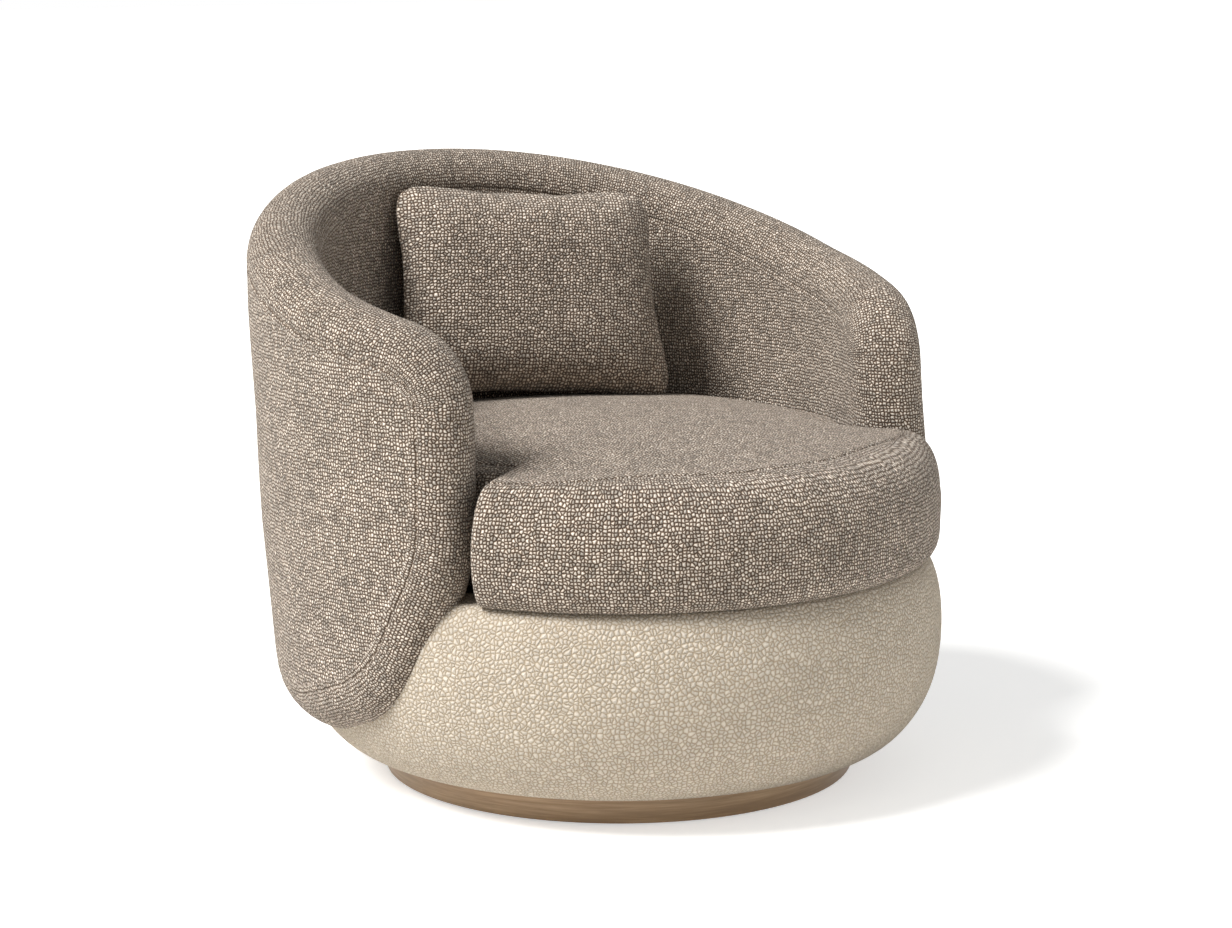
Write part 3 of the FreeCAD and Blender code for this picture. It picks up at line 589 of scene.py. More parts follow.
class StitchTree:
    """Geometry Nodes tree that lays short thread stitches along a line of points."""

    def __init__(self, thread: bpy.types.Material) -> None:
        """Builds the tree.

        Args:
            thread: material of the stitches.
        """
        tree = bpy.data.node_groups.new("stitch_run", "GeometryNodeTree")
        self.tree = tree
        self.sockets: dict[str, str] = {}
        tree.interface.new_socket("Geometry", in_out="INPUT", socket_type="NodeSocketGeometry")
        for label, value in (("Stitch Pitch", 0.007), ("Stitch Length", 0.0045), ("Thread Radius", 0.0004)):
            socket = tree.interface.new_socket(label, in_out="INPUT", socket_type="NodeSocketFloat")
            socket.default_value = value
            self.sockets[label] = socket.identifier
        tree.interface.new_socket("Geometry", in_out="OUTPUT", socket_type="NodeSocketGeometry")
        given = add_node(tree, "NodeGroupInput").outputs
        line = add_node(tree, "GeometryNodeMeshToCurve", {"Mesh": given["Geometry"]}).outputs[0]
        spaced = add_node(tree, "GeometryNodeCurveToPoints", {"Curve": line, "Length": given["Stitch Pitch"]},
                          mode="LENGTH")
        stitch = add_node(tree, "GeometryNodeMeshUVSphere", {
            "Segments": 6, "Rings": 4, "Radius": 1.0}).outputs[0]
        half = add_node(tree, "ShaderNodeMath", {0: given["Stitch Length"], 1: 0.5},
                        operation="MULTIPLY").outputs[0]
        size = add_node(tree, "ShaderNodeCombineXYZ", {
            "X": given["Thread Radius"], "Y": given["Thread Radius"], "Z": half}).outputs[0]
        placed = add_node(tree, "GeometryNodeInstanceOnPoints", {
            "Points": spaced.outputs["Points"], "Instance": stitch,
            "Rotation": spaced.outputs["Rotation"], "Scale": size}).outputs[0]
        solid = add_node(tree, "GeometryNodeRealizeInstances", {"Geometry": placed}).outputs[0]
        dressed = add_node(tree, "GeometryNodeSetMaterial", {
            "Geometry": solid, "Material": thread}).outputs[0]
        add_node(tree, "NodeGroupOutput", {"Geometry": dressed})

    def run(self, name: str, line: np.ndarray, pitch: float) -> bpy.types.Object:
        """Lays one closed run of stitches.

        Args:
            name: the piece's name.
            line: closed line of points in millimetres.
            pitch: distance from stitch to stitch in millimetres.

        Returns:
            The stitches as one mesh.
        """
        count = len(line)
        mesh = bpy.data.meshes.new(name + "_line")
        mesh.from_pydata((line * MM).tolist(), [(i, (i + 1) % count) for i in range(count)], [])
        carrier = bpy.data.objects.new(name + "_line", mesh)
        bpy.context.scene.collection.objects.link(carrier)
        modifier = carrier.modifiers.new("Stitches", "NODES")
        modifier.node_group = self.tree
        modifier[self.sockets["Stitch Pitch"]] = pitch * MM
        modifier[self.sockets["Stitch Length"]] = pitch * 0.62 * MM
        graph = bpy.context.evaluated_depsgraph_get()
        result = bpy.data.meshes.new_from_object(carrier.evaluated_get(graph))
        bpy.data.objects.remove(carrier, do_unlink=True)
        piece = bpy.data.objects.new(name, result)
        bpy.context.scene.collection.objects.link(piece)
        return piece


# ---------------------------------------------------------------- shell

@dataclass
class Shell:
    """Back and arms in one: outside panel, rolled edge band and inside panel, sewn together."""

    radius: float = 406.0
    thickness: float = 86.0
    back_height: float = 708.0
    skirt_thickness: float = 47.0
    belly_z: float = 150.0
    bowl_draw: float = 80.0
    neck_z: float = 300.0
    neck_length: float = 125.0
    neck_draw: float = 4.0
    lean_start_z: float = 115.0
    lean_length: float = 437.0
    lean_shift: float = 63.0
    foot_shift: float = -2.0
    swell: float = 0.9
    seam_inset: float = 47.0
    seam_depth: float = 1.4
    across: int = 250
    upright: int = 60
    roll_steps: int = 9

    def shift(self, z: np.ndarray) -> np.ndarray:
        """How far back the shell's circle lies at each height."""
        t = np.clip((z - self.lean_start_z) / self.lean_length, 0.0, 1.0)
        return self.foot_shift + self.lean_shift * (t + np.sin(math.pi / 2 * t)) / 2

    def outer(self, z: np.ndarray) -> np.ndarray:
        """Outer radius at each height."""
        bowl = np.maximum(self.belly_z - z, 0.0) / self.belly_z
        neck = np.clip((z - self.neck_z) / self.neck_length, 0.0, 1.0)
        return self.radius - self.bowl_draw * bowl ** 2 - self.neck_draw * neck

    def depth_below(self, z: np.ndarray) -> np.ndarray:
        """Thickness at each height: full above the seat, thin where the shell laps over the base."""
        extra = self.thickness - self.skirt_thickness
        return self.skirt_thickness + extra * smooth_step(z, 238.0, 268.0)

    def place(self, flat: np.ndarray, depth: np.ndarray) -> np.ndarray:
        """Wraps unrolled points round the shell.

        Args:
            flat: rows of arc length and height.
            depth: how far each lies below the outer surface.

        Returns:
            Points in space.
        """
        angle = flat[:, 0] / self.radius
        z = flat[:, 1]
        reach = self.outer(z) - depth
        return np.stack([reach * np.sin(angle), self.shift(z) + reach * np.cos(angle), z], axis=1)

    def outline(self) -> np.ndarray:
        """Rim of the unrolled shell as a closed line of arc length and height.

        Returns:
            Points, anticlockwise from the left heel.
        """
        beyond = self.radius + 150.0
        slope = (self.back_height - 592.0) / (self.radius + 1.0)
        corners = [(beyond, 66.0), (60.0, 76.0), (-112.0, 132.0), (-178.0, 292.0),
                   (-158.0, 548.0), (60.0, 592.0), (beyond, 592.0 + slope * (beyond - 60.0))]
        side = rounded_outline(corners, (0, 300.0, 150.0, 190.0, 100.0, 500.0, 0), 1.0)
        z = side[:, 1]
        cosine = (side[:, 0] - self.shift(z)) / self.outer(z)
        on = np.where(cosine < 1.0)[0]
        angle = np.arccos(np.clip(cosine[on], -1, 1))
        half = np.stack([angle * self.radius, z[on]], axis=1)
        half = np.vstack([[0.0, half[0, 1]], half, [0.0, half[-1, 1]]])
        heel = int(np.argmin(np.hypot(side[on][:, 0] + 112.0, side[on][:, 1] - 132.0))) + 1
        tip = int(np.argmin(np.hypot(side[on][:, 0] + 158.0, side[on][:, 1] - 548.0))) + 1
        mirror = np.array([-1.0, 1.0])
        bottom = np.vstack([half[:heel + 1][::-1] * mirror, half[1:heel + 1]])
        top = np.vstack([half[tip:], half[tip:-1][::-1] * mirror])
        right = half[heel:tip + 1]
        left = right[::-1] * mirror
        sides = [(bottom, self.across), (right, self.upright), (top, self.across), (left, self.upright)]
        return np.vstack([resample(line, count)[:-1] for line, count in sides])

    def stations(self) -> list[tuple[float, float, float]]:
        """Rings from the outside panel over the roll to the inside panel.

        Returns:
            For each ring: distance from the rim, side factor from 1 outside to -1 inside, and arc position.
        """
        roll = self.thickness / 2
        flats = [self.seam_inset + step for step in (9.0, 4.0, 1.9, 0.9, 0.0, -0.9, -1.9)]
        outside = [(d, 1.0, d - roll + roll * math.pi / 2) for d in flats]
        for k in range(self.roll_steps, 0, -1):
            turn = math.pi / 2 * k / self.roll_steps
            outside.append((roll * (1 - math.cos(turn)), math.sin(turn), roll * turn))
        inside = [(d, -side, -arc) for d, side, arc in reversed(outside)]
        return outside + [(0.0, 0.0, 0.0)] + inside

    def groove(self, inset: np.ndarray) -> np.ndarray:
        """Depth of the sewn seam with the slight swell on each side of it."""
        off = inset - self.seam_inset
        return self.seam_depth * np.exp(-(off / 1.1) ** 2) - 0.9 * np.exp(-((np.abs(off) - 6.5) / 4.0) ** 2)

    def surface(self) -> tuple[Surface, np.ndarray, np.ndarray]:
        """Builds the whole closed upholstery.

        Returns:
            The surface, and the outside and inside seam lines.
        """
        rim = self.outline()
        around = len(rim)
        tangent = np.roll(rim, -2, axis=0) - np.roll(rim, 2, axis=0)
        tangent /= np.linalg.norm(tangent, axis=1, keepdims=True)
        inward = np.stack([-tangent[:, 1], tangent[:, 0]], axis=1)
        roll = self.thickness / 2
        walk = np.linalg.norm(np.roll(rim, -1, axis=0) - rim, axis=1)
        walk = np.concatenate([[0.0], np.cumsum(walk)])
        rings, band_fabric, flats = [], [], []
        for inset, side, arc in self.stations():
            flat = rim + inward * inset
            outside = roll * (1 - side)
            inside = roll + (self.depth_below(flat[:, 1]) - roll) * -side
            depth = outside if side >= 0 else inside
            dent = self.groove(np.full(around, inset)) if abs(side) == 1.0 else 0.0
            depth = depth + (dent if side >= 0 else -dent)
            rings.append(self.place(flat, depth * np.ones(around)))
            flats.append(flat)
            band_fabric.append(np.stack([walk, np.full(around + 1, arc)], axis=1))
        rings = np.array(rings)
        faces, fabric = loft(rings, np.array(band_fabric))
        points = [rings.reshape(-1, 3)]
        start = len(points[0])
        for ring_index, side in ((0, 1.0), (len(rings) - 1, -1.0)):
            flat, grid = self._grid(flats[ring_index])
            loop_ids = np.arange(around) + ring_index * around
            ids = np.full(grid, -1)
            columns, rows = grid
            for i, point_id in zip(self._loop_cells(columns, rows), loop_ids):
                ids[i] = point_id
            inner_cells = np.argwhere(ids < 0)
            inner_flat = flat[inner_cells[:, 0], inner_cells[:, 1]]
            depth = np.zeros(len(inner_flat)) if side > 0 else self.depth_below(inner_flat[:, 1])
            for offset, cell in enumerate(inner_cells):
                ids[tuple(cell)] = start + offset
            points.append(self.place(inner_flat, depth))
            start += len(inner_flat)
            for i in range(columns - 1):
                for j in range(rows - 1):
                    cells = ((i, j), (i + 1, j), (i + 1, j + 1), (i, j + 1))
                    faces.append(tuple(int(ids[c]) for c in cells))
                    fabric.append(tuple(tuple(flat[c]) for c in cells))
        cloud = np.vstack(points)
        axis_side = np.stack([cloud[:, 0], cloud[:, 1] - self.shift(cloud[:, 2])], axis=1)
        out = axis_side / np.linalg.norm(axis_side, axis=1, keepdims=True)
        facing = np.where(np.linalg.norm(axis_side, axis=1) > self.outer(cloud[:, 2]) - roll, 1.0, -1.0)
        swell = self.swell * ripple(cloud, 210.0) * facing
        cloud[:, :2] += out * swell[:, None]
        outer_seam = rings[4].copy()
        inner_seam = rings[len(rings) - 5].copy()
        return Surface(cloud, faces, fabric), outer_seam, inner_seam

    @staticmethod
    def _loop_cells(columns: int, rows: int) -> list[tuple[int, int]]:
        """Border cells of the panel's grid in the order of the rim's points."""
        bottom = [(i, 0) for i in range(columns - 1)]
        right = [(columns - 1, j) for j in range(rows - 1)]
        top = [(i, rows - 1) for i in range(columns - 1, 0, -1)]
        left = [(0, j) for j in range(rows - 1, 0, -1)]
        return bottom + right + top + left

    def _grid(self, loop: np.ndarray) -> tuple[np.ndarray, tuple[int, int]]:
        """Fills the inside of a closed ring with an even grid.

        Args:
            loop: ring of unrolled points.

        Returns:
            Grid of unrolled points, and its columns and rows.
        """
        columns, rows = self.across + 1, self.upright + 1
        grid = np.zeros((columns, rows, 2))
        for cell, point in zip(self._loop_cells(columns, rows), loop):
            grid[cell] = point
        u = np.linspace(0, 1, columns)[:, None, None]
        v = np.linspace(0, 1, rows)[None, :, None]
        bottom, top = grid[:, :1], grid[:, -1:]
        left, right = grid[:1], grid[-1:]
        corners = ((1 - u) * (1 - v) * grid[0, 0] + u * (1 - v) * grid[-1, 0]
                   + (1 - u) * v * grid[0, -1] + u * v * grid[-1, -1])
        filled = (1 - v) * bottom + v * top + (1 - u) * left + u * right - corners
        return filled, (columns, rows)

    def build(self, finishes: Finishes, stitches: StitchTree) -> list[bpy.types.Object]:
        """Makes the upholstery and its seams.

        Args:
            finishes: the chair's materials.
            stitches: tree that lays the seam's thread.

        Returns:
            The pieces.
        """
        surface, outer_seam, inner_seam = self.surface()
        cover = surface.build("shell_upholstery", finishes.tweed)
        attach(cover, "chair")
        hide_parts("shell_outside_panel", "shell_inside_panel", "shell_edge_band",
                    "shell_outer_foam", "shell_inner_foam")
        pieces = [cover]
        for name, line in (("shell_outside_seam", outer_seam), ("shell_inside_seam", inner_seam)):
            seam = stitches.run(name, line, 7.0)
            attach(seam, "chair")
            pieces.append(seam)
        return pieces


# ---------------------------------------------------------------- base

@dataclass
class Base:
    """Round boucle base with its bowl-shaped underside, the cloth deck on top and the dust cover below."""

    radius: float = 384.0
    flat_radius: float = 296.0
    bottom: float = 37.0
    belly_z: float = 176.0
    top: float = 261.0
    top_roll: float = 28.0
    hem_radius: float = 262.0
    deck_radius: float = 303.0
    cloth: float = 3.0
    around: int = 240

    def profile(self, inset: float) -> np.ndarray:
        """Section from the hem underneath, round the belly, to the deck.

        Args:
            inset: how far the line lies inside the outer face.

        Returns:
            Rows of radius and height.
        """
        flat = np.array([(r, self.bottom + inset) for r in np.linspace(self.hem_radius, self.flat_radius, 5)])
        low = np.radians(np.linspace(-90, 0, 25))
        bowl = np.stack([self.flat_radius + (self.radius - inset - self.flat_radius) * np.cos(low),
                         self.belly_z + (self.belly_z - self.bottom - inset) * np.sin(low)], axis=1)
        high = np.radians(np.linspace(0, 90, 19))
        shoulder = self.radius - self.top_roll
        roll = np.stack([shoulder + (self.top_roll - inset) * np.cos(high),
                         self.belly_z + (self.top - inset - self.belly_z) * np.sin(high)], axis=1)
        deck = np.array([(r, self.top - inset) for r in np.linspace(shoulder, self.deck_radius, 6)])
        return np.vstack([flat[:-1], bowl[:-1], roll[:-1], deck])

    def turned(self, section: np.ndarray, swell: float) -> Surface:
        """Turns a closed section round the swivel axis.

        Args:
            section: rows of radius and height.
            swell: height of the cloth's unevenness.

        Returns:
            The closed surface.
        """
        angle = np.linspace(0, 2 * math.pi, self.around, endpoint=False)
        rings = np.array([np.stack([r * np.sin(angle), -r * np.cos(angle), np.full(self.around, z)], axis=1)
                          for r, z in np.vstack([section, section[:1]])])
        walk = np.concatenate([[0.0], np.cumsum(np.linalg.norm(np.diff(rings[:, 0], axis=0), axis=1))])
        full = np.linspace(0, 2 * math.pi, self.around + 1) * self.radius
        fabric = np.array([np.stack([full, np.full(self.around + 1, at)], axis=1) for at in walk])
        faces, coords = loft(rings, fabric)
        total = (len(rings) - 1) * self.around
        faces = [tuple(i % total for i in face) for face in faces]
        points = rings[:-1].reshape(-1, 3)
        away = np.linalg.norm(points[:, :2], axis=1)
        outward = points[:, :2] / away[:, None]
        weight = smooth_step(away, self.flat_radius, self.radius)
        points[:, :2] += outward * (swell * ripple(points, 160.0) * weight)[:, None]
        return Surface(points, faces, coords)

    def build(self, finishes: Finishes) -> list[bpy.types.Object]:
        """Makes the cover, the deck and the dust cover.

        Args:
            finishes: the chair's materials.

        Returns:
            The pieces.
        """
        section = np.vstack([self.profile(0.0), self.profile(self.cloth)[::-1]])
        cover = self.turned(section, 0.7).build("base_upholstery", finishes.boucle)
        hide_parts("base_cover", "base_foam")
        deck_section = np.array([(2.0, 254.6), (299.0, 254.6), (302.0, 257.0), (302.0, 260.0),
                                 (298.0, 261.0), (200.0, 261.0), (100.0, 261.0), (2.0, 261.0)])
        deck = self.turned(deck_section, 0.0).build("seat_deck", finishes.spunbond)
        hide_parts("deck_pad", "deck_cloth")
        dust_section = np.array([(110.5, 45.9), (110.5, 45.4), (150.0, 44.6), (190.0, 44.2), (225.0, 44.6),
                                 (259.0, 45.4), (261.0, 45.9)])
        dust = self.turned(dust_section, 0.0).build("dust_cover_cloth", finishes.spunbond)
        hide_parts("dust_cover")
        for piece in (cover, deck, dust):
            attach(piece, "chair")
        return [cover, deck, dust]


# ---------------------------------------------------------------- seat cushion

@dataclass
class SeatCushion:
    """Loose round cushion with a bullnose front, small ears before the arms, a crown and a sewn top seam."""

    radius: float = 387.0
    wall_radius: float = 311.5
    wall_centre: float = 35.0
    ear_line: float = -187.0
    bottom: float = 261.4
    belly_z: float = 322.0
    edge_top: float = 394.0
    crown: float = 20.0
    foot_roll: float = 26.0
    seam_inset: float = 78.0
    seam_depth: float = 2.0
    around: int = 420

    def plan(self) -> np.ndarray:
        """Outline seen from above, anticlockwise from the right ear's inner corner."""
        inner_x = math.sqrt(self.wall_radius ** 2 - (self.ear_line - self.wall_centre) ** 2)
        start = math.atan2(self.ear_line - self.wall_centre, inner_x)
        back = np.linspace(start, math.pi - start, 400)
        wall = np.stack([self.wall_radius * np.cos(back),
                         self.wall_centre + self.wall_radius * np.sin(back)], axis=1)
        front = np.linspace(math.pi + math.asin(-self.ear_line / self.radius),
                            2 * math.pi - math.asin(-self.ear_line / self.radius), 300)
        nose = np.stack([self.radius * np.cos(front), self.radius * np.sin(front)], axis=1)
        line = resample(np.vstack([wall, nose]), 1100, closed=True)
        kernel = np.exp(-(np.arange(-24, 25) / 4.5) ** 2)
        kernel /= kernel.sum()
        wrapped = np.vstack([line[-24:], line, line[:24]])
        soft = np.stack([np.convolve(wrapped[:, i], kernel, mode="valid") for i in range(2)], axis=1)
        return resample(soft, self.around, closed=True)

    def surface(self) -> Surface:
        """Builds the closed cushion, with the recessed line of its top seam."""
        plan = self.plan()
        core = plan * (205.0 / np.linalg.norm(plan, axis=1, keepdims=True))
        inward = core - plan
        reach = np.linalg.norm(inward, axis=1, keepdims=True)
        inward /= reach
        front = smooth_step(np.linalg.norm(plan, axis=1), self.radius - 45.0, self.radius - 8.0)
        front *= plan[:, 1] < 0.0
        bearing = np.degrees(np.arctan2(np.abs(plan[:, 0]), -plan[:, 1]))
        roll = 20.0 + (34.0 - 14.0 * smooth_step(bearing, 40.0, 65.0)) * front
        seam = 40.0 + (self.seam_inset - 40.0 - 34.0 * smooth_step(bearing, 28.0, 60.0)) * front
        seam = np.maximum(seam, roll + 4.0)
        rings = []

        def ring(flat: np.ndarray, z: np.ndarray) -> None:
            """Adds one ring of points."""
            rings.append(np.column_stack([flat, z * np.ones(len(flat))]))

        for share in (0.02, 0.35, 0.7, 0.92):
            ring((plan + inward * self.foot_roll) * share, self.bottom)
        for angle in np.radians(np.linspace(-90, 0, 10)):
            out = self.foot_roll * (1 - math.cos(angle))
            ring(plan + inward * out, self.belly_z + (self.belly_z - self.bottom) * math.sin(angle))
        for angle in np.radians(np.linspace(0, 90, 15))[1:]:
            out = roll * (1 - math.cos(angle))
            rise = (self.edge_top - self.belly_z) * math.sin(angle)
            ring(plan + inward * out[:, None], self.belly_z + rise)
        edge = rings[-1][:, :2]
        edge_reach = np.linalg.norm(edge, axis=1)
        seam_ring = len(rings)
        for step in (-0.75, -0.4, -0.16, -0.07, -0.035, 0.0, 0.035, 0.07, 0.16, 0.4, 0.8, 1.4, 2.0):
            out = seam + step * 30.0 if step > 0 else roll + (seam - roll) * (1 + step)
            ring(plan + inward * out[:, None], self.edge_top)
            if step == 0.0:
                seam_ring = len(rings) - 1
        last = rings[-1][:, :2]
        for share in (0.85, 0.68, 0.5, 0.32, 0.15, 0.02):
            ring(last * share, self.edge_top)
        rings = np.array(rings)
        edge_index = 4 + 10 + 14 - 1
        for j in range(edge_index, len(rings)):
            away = np.linalg.norm(rings[j][:, :2], axis=1)
            rings[j][:, 2] = self.edge_top + self.crown * (1 - np.minimum(away / edge_reach, 1.0) ** 2)
            if j < len(rings) - 6:
                travel = np.linalg.norm(plan - rings[j][:, :2], axis=1) - seam
                rings[j][:, 2] -= self.seam_depth * np.exp(-(travel / 1.3) ** 2)
                rings[j][:, 2] += 1.2 * np.exp(-((np.abs(travel) - 8.0) / 6.0) ** 2) * (j > edge_index)
        walk = np.concatenate([[0.0], np.cumsum(np.linalg.norm(np.roll(plan, -1, axis=0) - plan, axis=1))])
        rise = np.concatenate([[0.0], np.cumsum(np.linalg.norm(np.diff(rings[:, 30], axis=0), axis=1))])
        band = np.array([np.stack([walk, np.full(self.around + 1, at)], axis=1) for at in rise])
        wrapped = np.concatenate([rings[:, :, :2], rings[:, :1, :2]], axis=1)
        faces, fabric = [], []
        parts = ((0, 5, wrapped), (5, seam_ring + 1, band), (seam_ring, len(rings), wrapped))
        for low, high, coords in parts:
            low = max(low - (1 if low == 5 else 0), 0)
            part_faces, part_fabric = loft(rings[low:high], coords[low:high], low * self.around)
            faces += part_faces
            fabric += part_fabric
        points = rings.reshape(-1, 3)
        total = len(points)
        points = np.vstack([points, [[0, 0, self.bottom]], [[0, 0, self.edge_top + self.crown]]])
        last_start = (len(rings) - 1) * self.around
        for i in range(self.around):
            k = (i + 1) % self.around
            faces.append((total, k, i))
            fabric.append(((0.0, 0.0), tuple(rings[0, k, :2]), tuple(rings[0, i, :2])))
            faces.append((total + 1, last_start + i, last_start + k))
            fabric.append(((0.0, 0.0), tuple(rings[-1, i, :2]), tuple(rings[-1, k, :2])))
        return Surface(points, faces, fabric)

    def build(self, finishes: Finishes) -> list[bpy.types.Object]:
        """Makes the cushion, swollen evenly as far as the cap on its cloth movement.

        Args:
            finishes: the chair's materials.

        Returns:
            The piece.
        """
        surface = self.surface()
        moves = ClothSettling(voxel=10.0, cap=7.0).moves(surface, "cushion_settling")
        rest = smooth_step(surface.points[:, 2], self.bottom + 6.0, self.bottom + 50.0)
        loose = 1.0 - smooth_step(surface.points[:, 1], self.ear_line - 45.0, self.ear_line - 5.0)
        level, upright = np.array([1.0, 1.0, 0.0]), np.array([0.0, 0.0, 0.6])
        surface.points += moves * ((rest * loose)[:, None] * level + rest[:, None] * upright)
        surface.points[:, 2] += 0.8 * ripple(surface.points, 150.0) * rest
        cushion = surface.build("seat_cushion_cover", finishes.tweed)
        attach(cushion, "seat_cushion")
        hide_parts("cushion_foam", "cushion_top_panel", "cushion_side_band", "cushion_bottom_panel")
        return [cushion]


# ---------------------------------------------------------------- scatter pillow

@dataclass
class ScatterPillow:
    """Small knife-edge pillow that stands on the seat and leans towards the back."""

    width: float = 345.0
    height: float = 272.0
    thickness: float = 122.0
    draw_in: float = 8.0
    taper: float = 0.041
    slump: float = 10.5
    wall_gap: float = 9.0
    centre: tuple[float, float, float] = (62.9, 263.0, 533.6)
    yaw: float = -22.0
    lean: float = 13.0
    roll: float = 3.0
    steps: int = 80

    def sheet(self, side: float) -> tuple[np.ndarray, np.ndarray]:
        """Front or back face as a grid.

        Args:
            side: -1 for the front, 1 for the back.

        Returns:
            Grid of points and grid of fabric coordinates.
        """
        t = np.sin(np.linspace(-1, 1, self.steps + 1) * math.pi / 2)
        u, v = np.meshgrid(t, t, indexing="ij")
        edge = np.maximum(np.abs(u), np.abs(v))
        rounding = edge / np.maximum((np.abs(u) ** 8 + np.abs(v) ** 8) ** 0.125, 1e-6)
        u, v = u * rounding, v * rounding
        pull_u = self.draw_in * (1 - v ** 2) * np.sign(u) * np.abs(u) ** 3
        pull_v = self.draw_in * (1 - u ** 2) * np.sign(v) * np.abs(v) ** 3
        x = (self.width / 2 * u - pull_u) * (1 - self.taper * v) - self.slump * (0.8 + v)
        z = self.height / 2 * v - pull_v
        body = np.maximum((1 - 0.9 * np.abs(u) ** 3) * (1 - 0.9 * np.abs(v) ** 3), 0.0) ** 0.4
        puff = body * np.maximum(1 - edge ** 6, 0.0) ** 0.45
        fold = self._puckers(u, v)
        y = side * (self.thickness / 2 * puff + fold * puff ** 0.5)
        return np.stack([x, y, z], axis=2), np.stack([x + side * 600.0, z], axis=2)

    @staticmethod
    def _puckers(u: np.ndarray, v: np.ndarray) -> np.ndarray:
        """Short creases that run in from the corners and along the seam."""
        near = np.exp(-((1 - np.abs(u)) ** 2 + (1 - np.abs(v)) ** 2) / 0.16)
        turn = np.arctan2(1.02 - np.abs(v), 1.02 - np.abs(u))
        edge = np.exp(-np.minimum(1 - np.abs(u), 1 - np.abs(v)) / 0.05)
        along = np.where(np.abs(u) > np.abs(v), v, u)
        return 1.6 * near * np.cos(turn * 9.0) + 0.6 * edge * np.cos(along * 31.0 + u * 2)

    def surface(self) -> Surface:
        """Builds the closed pillow, upright at the origin."""
        front, front_fabric = self.sheet(-1.0)
        back, back_fabric = self.sheet(1.0)
        size = self.steps + 1
        ids_front = np.arange(size * size).reshape(size, size)
        ids_back = np.full((size, size), -1)
        ids_back[0, :], ids_back[-1, :] = ids_front[0, :], ids_front[-1, :]
        ids_back[:, 0], ids_back[:, -1] = ids_front[:, 0], ids_front[:, -1]
        inner = np.argwhere(ids_back < 0)
        ids_back[inner[:, 0], inner[:, 1]] = size * size + np.arange(len(inner))
        points = np.vstack([front.reshape(-1, 3), back[inner[:, 0], inner[:, 1]]])
        faces, fabric = [], []
        for ids, coords in ((ids_front, front_fabric), (ids_back, back_fabric)):
            for i in range(self.steps):
                for j in range(self.steps):
                    cells = ((i, j), (i + 1, j), (i + 1, j + 1), (i, j + 1))
                    faces.append(tuple(int(ids[c]) for c in cells))
                    fabric.append(tuple(tuple(coords[c]) for c in cells))
        return Surface(points, faces, fabric)

    def stand(self, points: np.ndarray) -> np.ndarray:
        """Turns upright points to the pillow's place on the seat."""
        roll, lean, yaw = (math.radians(a) for a in (self.roll, -self.lean, self.yaw))
        about_y = np.array([[math.cos(roll), 0, math.sin(roll)], [0, 1, 0],
                            [-math.sin(roll), 0, math.cos(roll)]])
        about_x = np.array([[1, 0, 0], [0, math.cos(lean), -math.sin(lean)],
                            [0, math.sin(lean), math.cos(lean)]])
        about_z = np.array([[math.cos(yaw), -math.sin(yaw), 0], [math.sin(yaw), math.cos(yaw), 0], [0, 0, 1]])
        return points @ (about_z @ about_x @ about_y).T + np.array(self.centre)

    def build(self, finishes: Finishes, cushion: SeatCushion, shell: Shell) -> list[bpy.types.Object]:
        """Makes the pillow, flattened where it stands on the seat.

        Args:
            finishes: the chair's materials.
            cushion: the seat cushion that carries it.
            shell: the shell behind it.

        Returns:
            The piece.
        """
        surface = self.surface()
        surface.points += ClothSettling(voxel=6.0, cap=9.0).moves(surface, "pillow_settling") * 0.6
        points = self.stand(surface.points)
        away = np.linalg.norm(points[:, :2], axis=1)
        floor = cushion.edge_top + cushion.crown * (1 - np.minimum(away / 320.0, 1.0) ** 2) + 2.5
        low = points[:, 2] < floor
        points[low, 2] = floor[low]
        side = np.stack([points[:, 0], points[:, 1] - shell.shift(points[:, 2])], axis=1)
        reach = np.linalg.norm(side, axis=1)
        limit = shell.outer(points[:, 2]) - shell.thickness - self.wall_gap
        scale = np.minimum(1.0, limit / np.maximum(reach, 1.0))
        points[:, 0] = side[:, 0] * scale
        points[:, 1] = side[:, 1] * scale + shell.shift(points[:, 2])
        surface.points = points
        pillow = surface.build("scatter_pillow_cover", finishes.tweed)
        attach(pillow, "pillow")
        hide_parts("pillow_filling", "pillow_front_panel", "pillow_back_panel")
        return [pillow]


# ---------------------------------------------------------------- frame, plinth and swivel

@dataclass
class Chassis:
    """The hard pieces that keep their CAD shape and get their finishes here."""

    def dress(self, finishes: Finishes) -> int:
        """Puts a finish on each hard node.

        Args:
            finishes: the chair's materials.

        Returns:
            Number of nodes dressed.
        """
        groups = (
            (finishes.stained_ash, ("plinth_ring",)),
            (finishes.birch, ("plinth_board", "base_board", "seat_ring", "drum_wall", "shell_core")),
            (finishes.pine, ("drum_posts", "shell_mount_blocks")),
            (finishes.webbing, ("seat_webbing_cross", "seat_webbing_long")),
            (finishes.nylon, ("floor_glides", "ball_cage")),
            (finishes.ball_steel, ("bearing_balls",)),
            (finishes.zinc, (
                "swivel_lower_plate", "swivel_upper_plate", "swivel_lower_race", "swivel_upper_race",
                "king_pin", "king_pin_washer", "king_pin_nut", "lower_plate_screws", "base_board_bolts",
                "base_board_tee_nuts", "post_screws_lower", "post_screws_upper", "shell_bolts",
                "shell_bolt_washers", "shell_tee_nuts")),
        )
        dressed = 0
        for material, names in groups:
            for name in names:
                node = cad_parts[name]
                if not node.material_slots:
                    node.data.materials.append(material)
                for slot in node.material_slots:
                    slot.material = material
                dressed += 1
        return dressed


# ---------------------------------------------------------------- studio

def toward(azimuth: float, elevation: float) -> Vector:
    """Direction from the chair to a bearing and height in degrees, with 0 at the front."""
    az, el = math.radians(azimuth), math.radians(elevation)
    return Vector((math.sin(az) * math.cos(el), -math.cos(az) * math.cos(el), math.sin(el)))


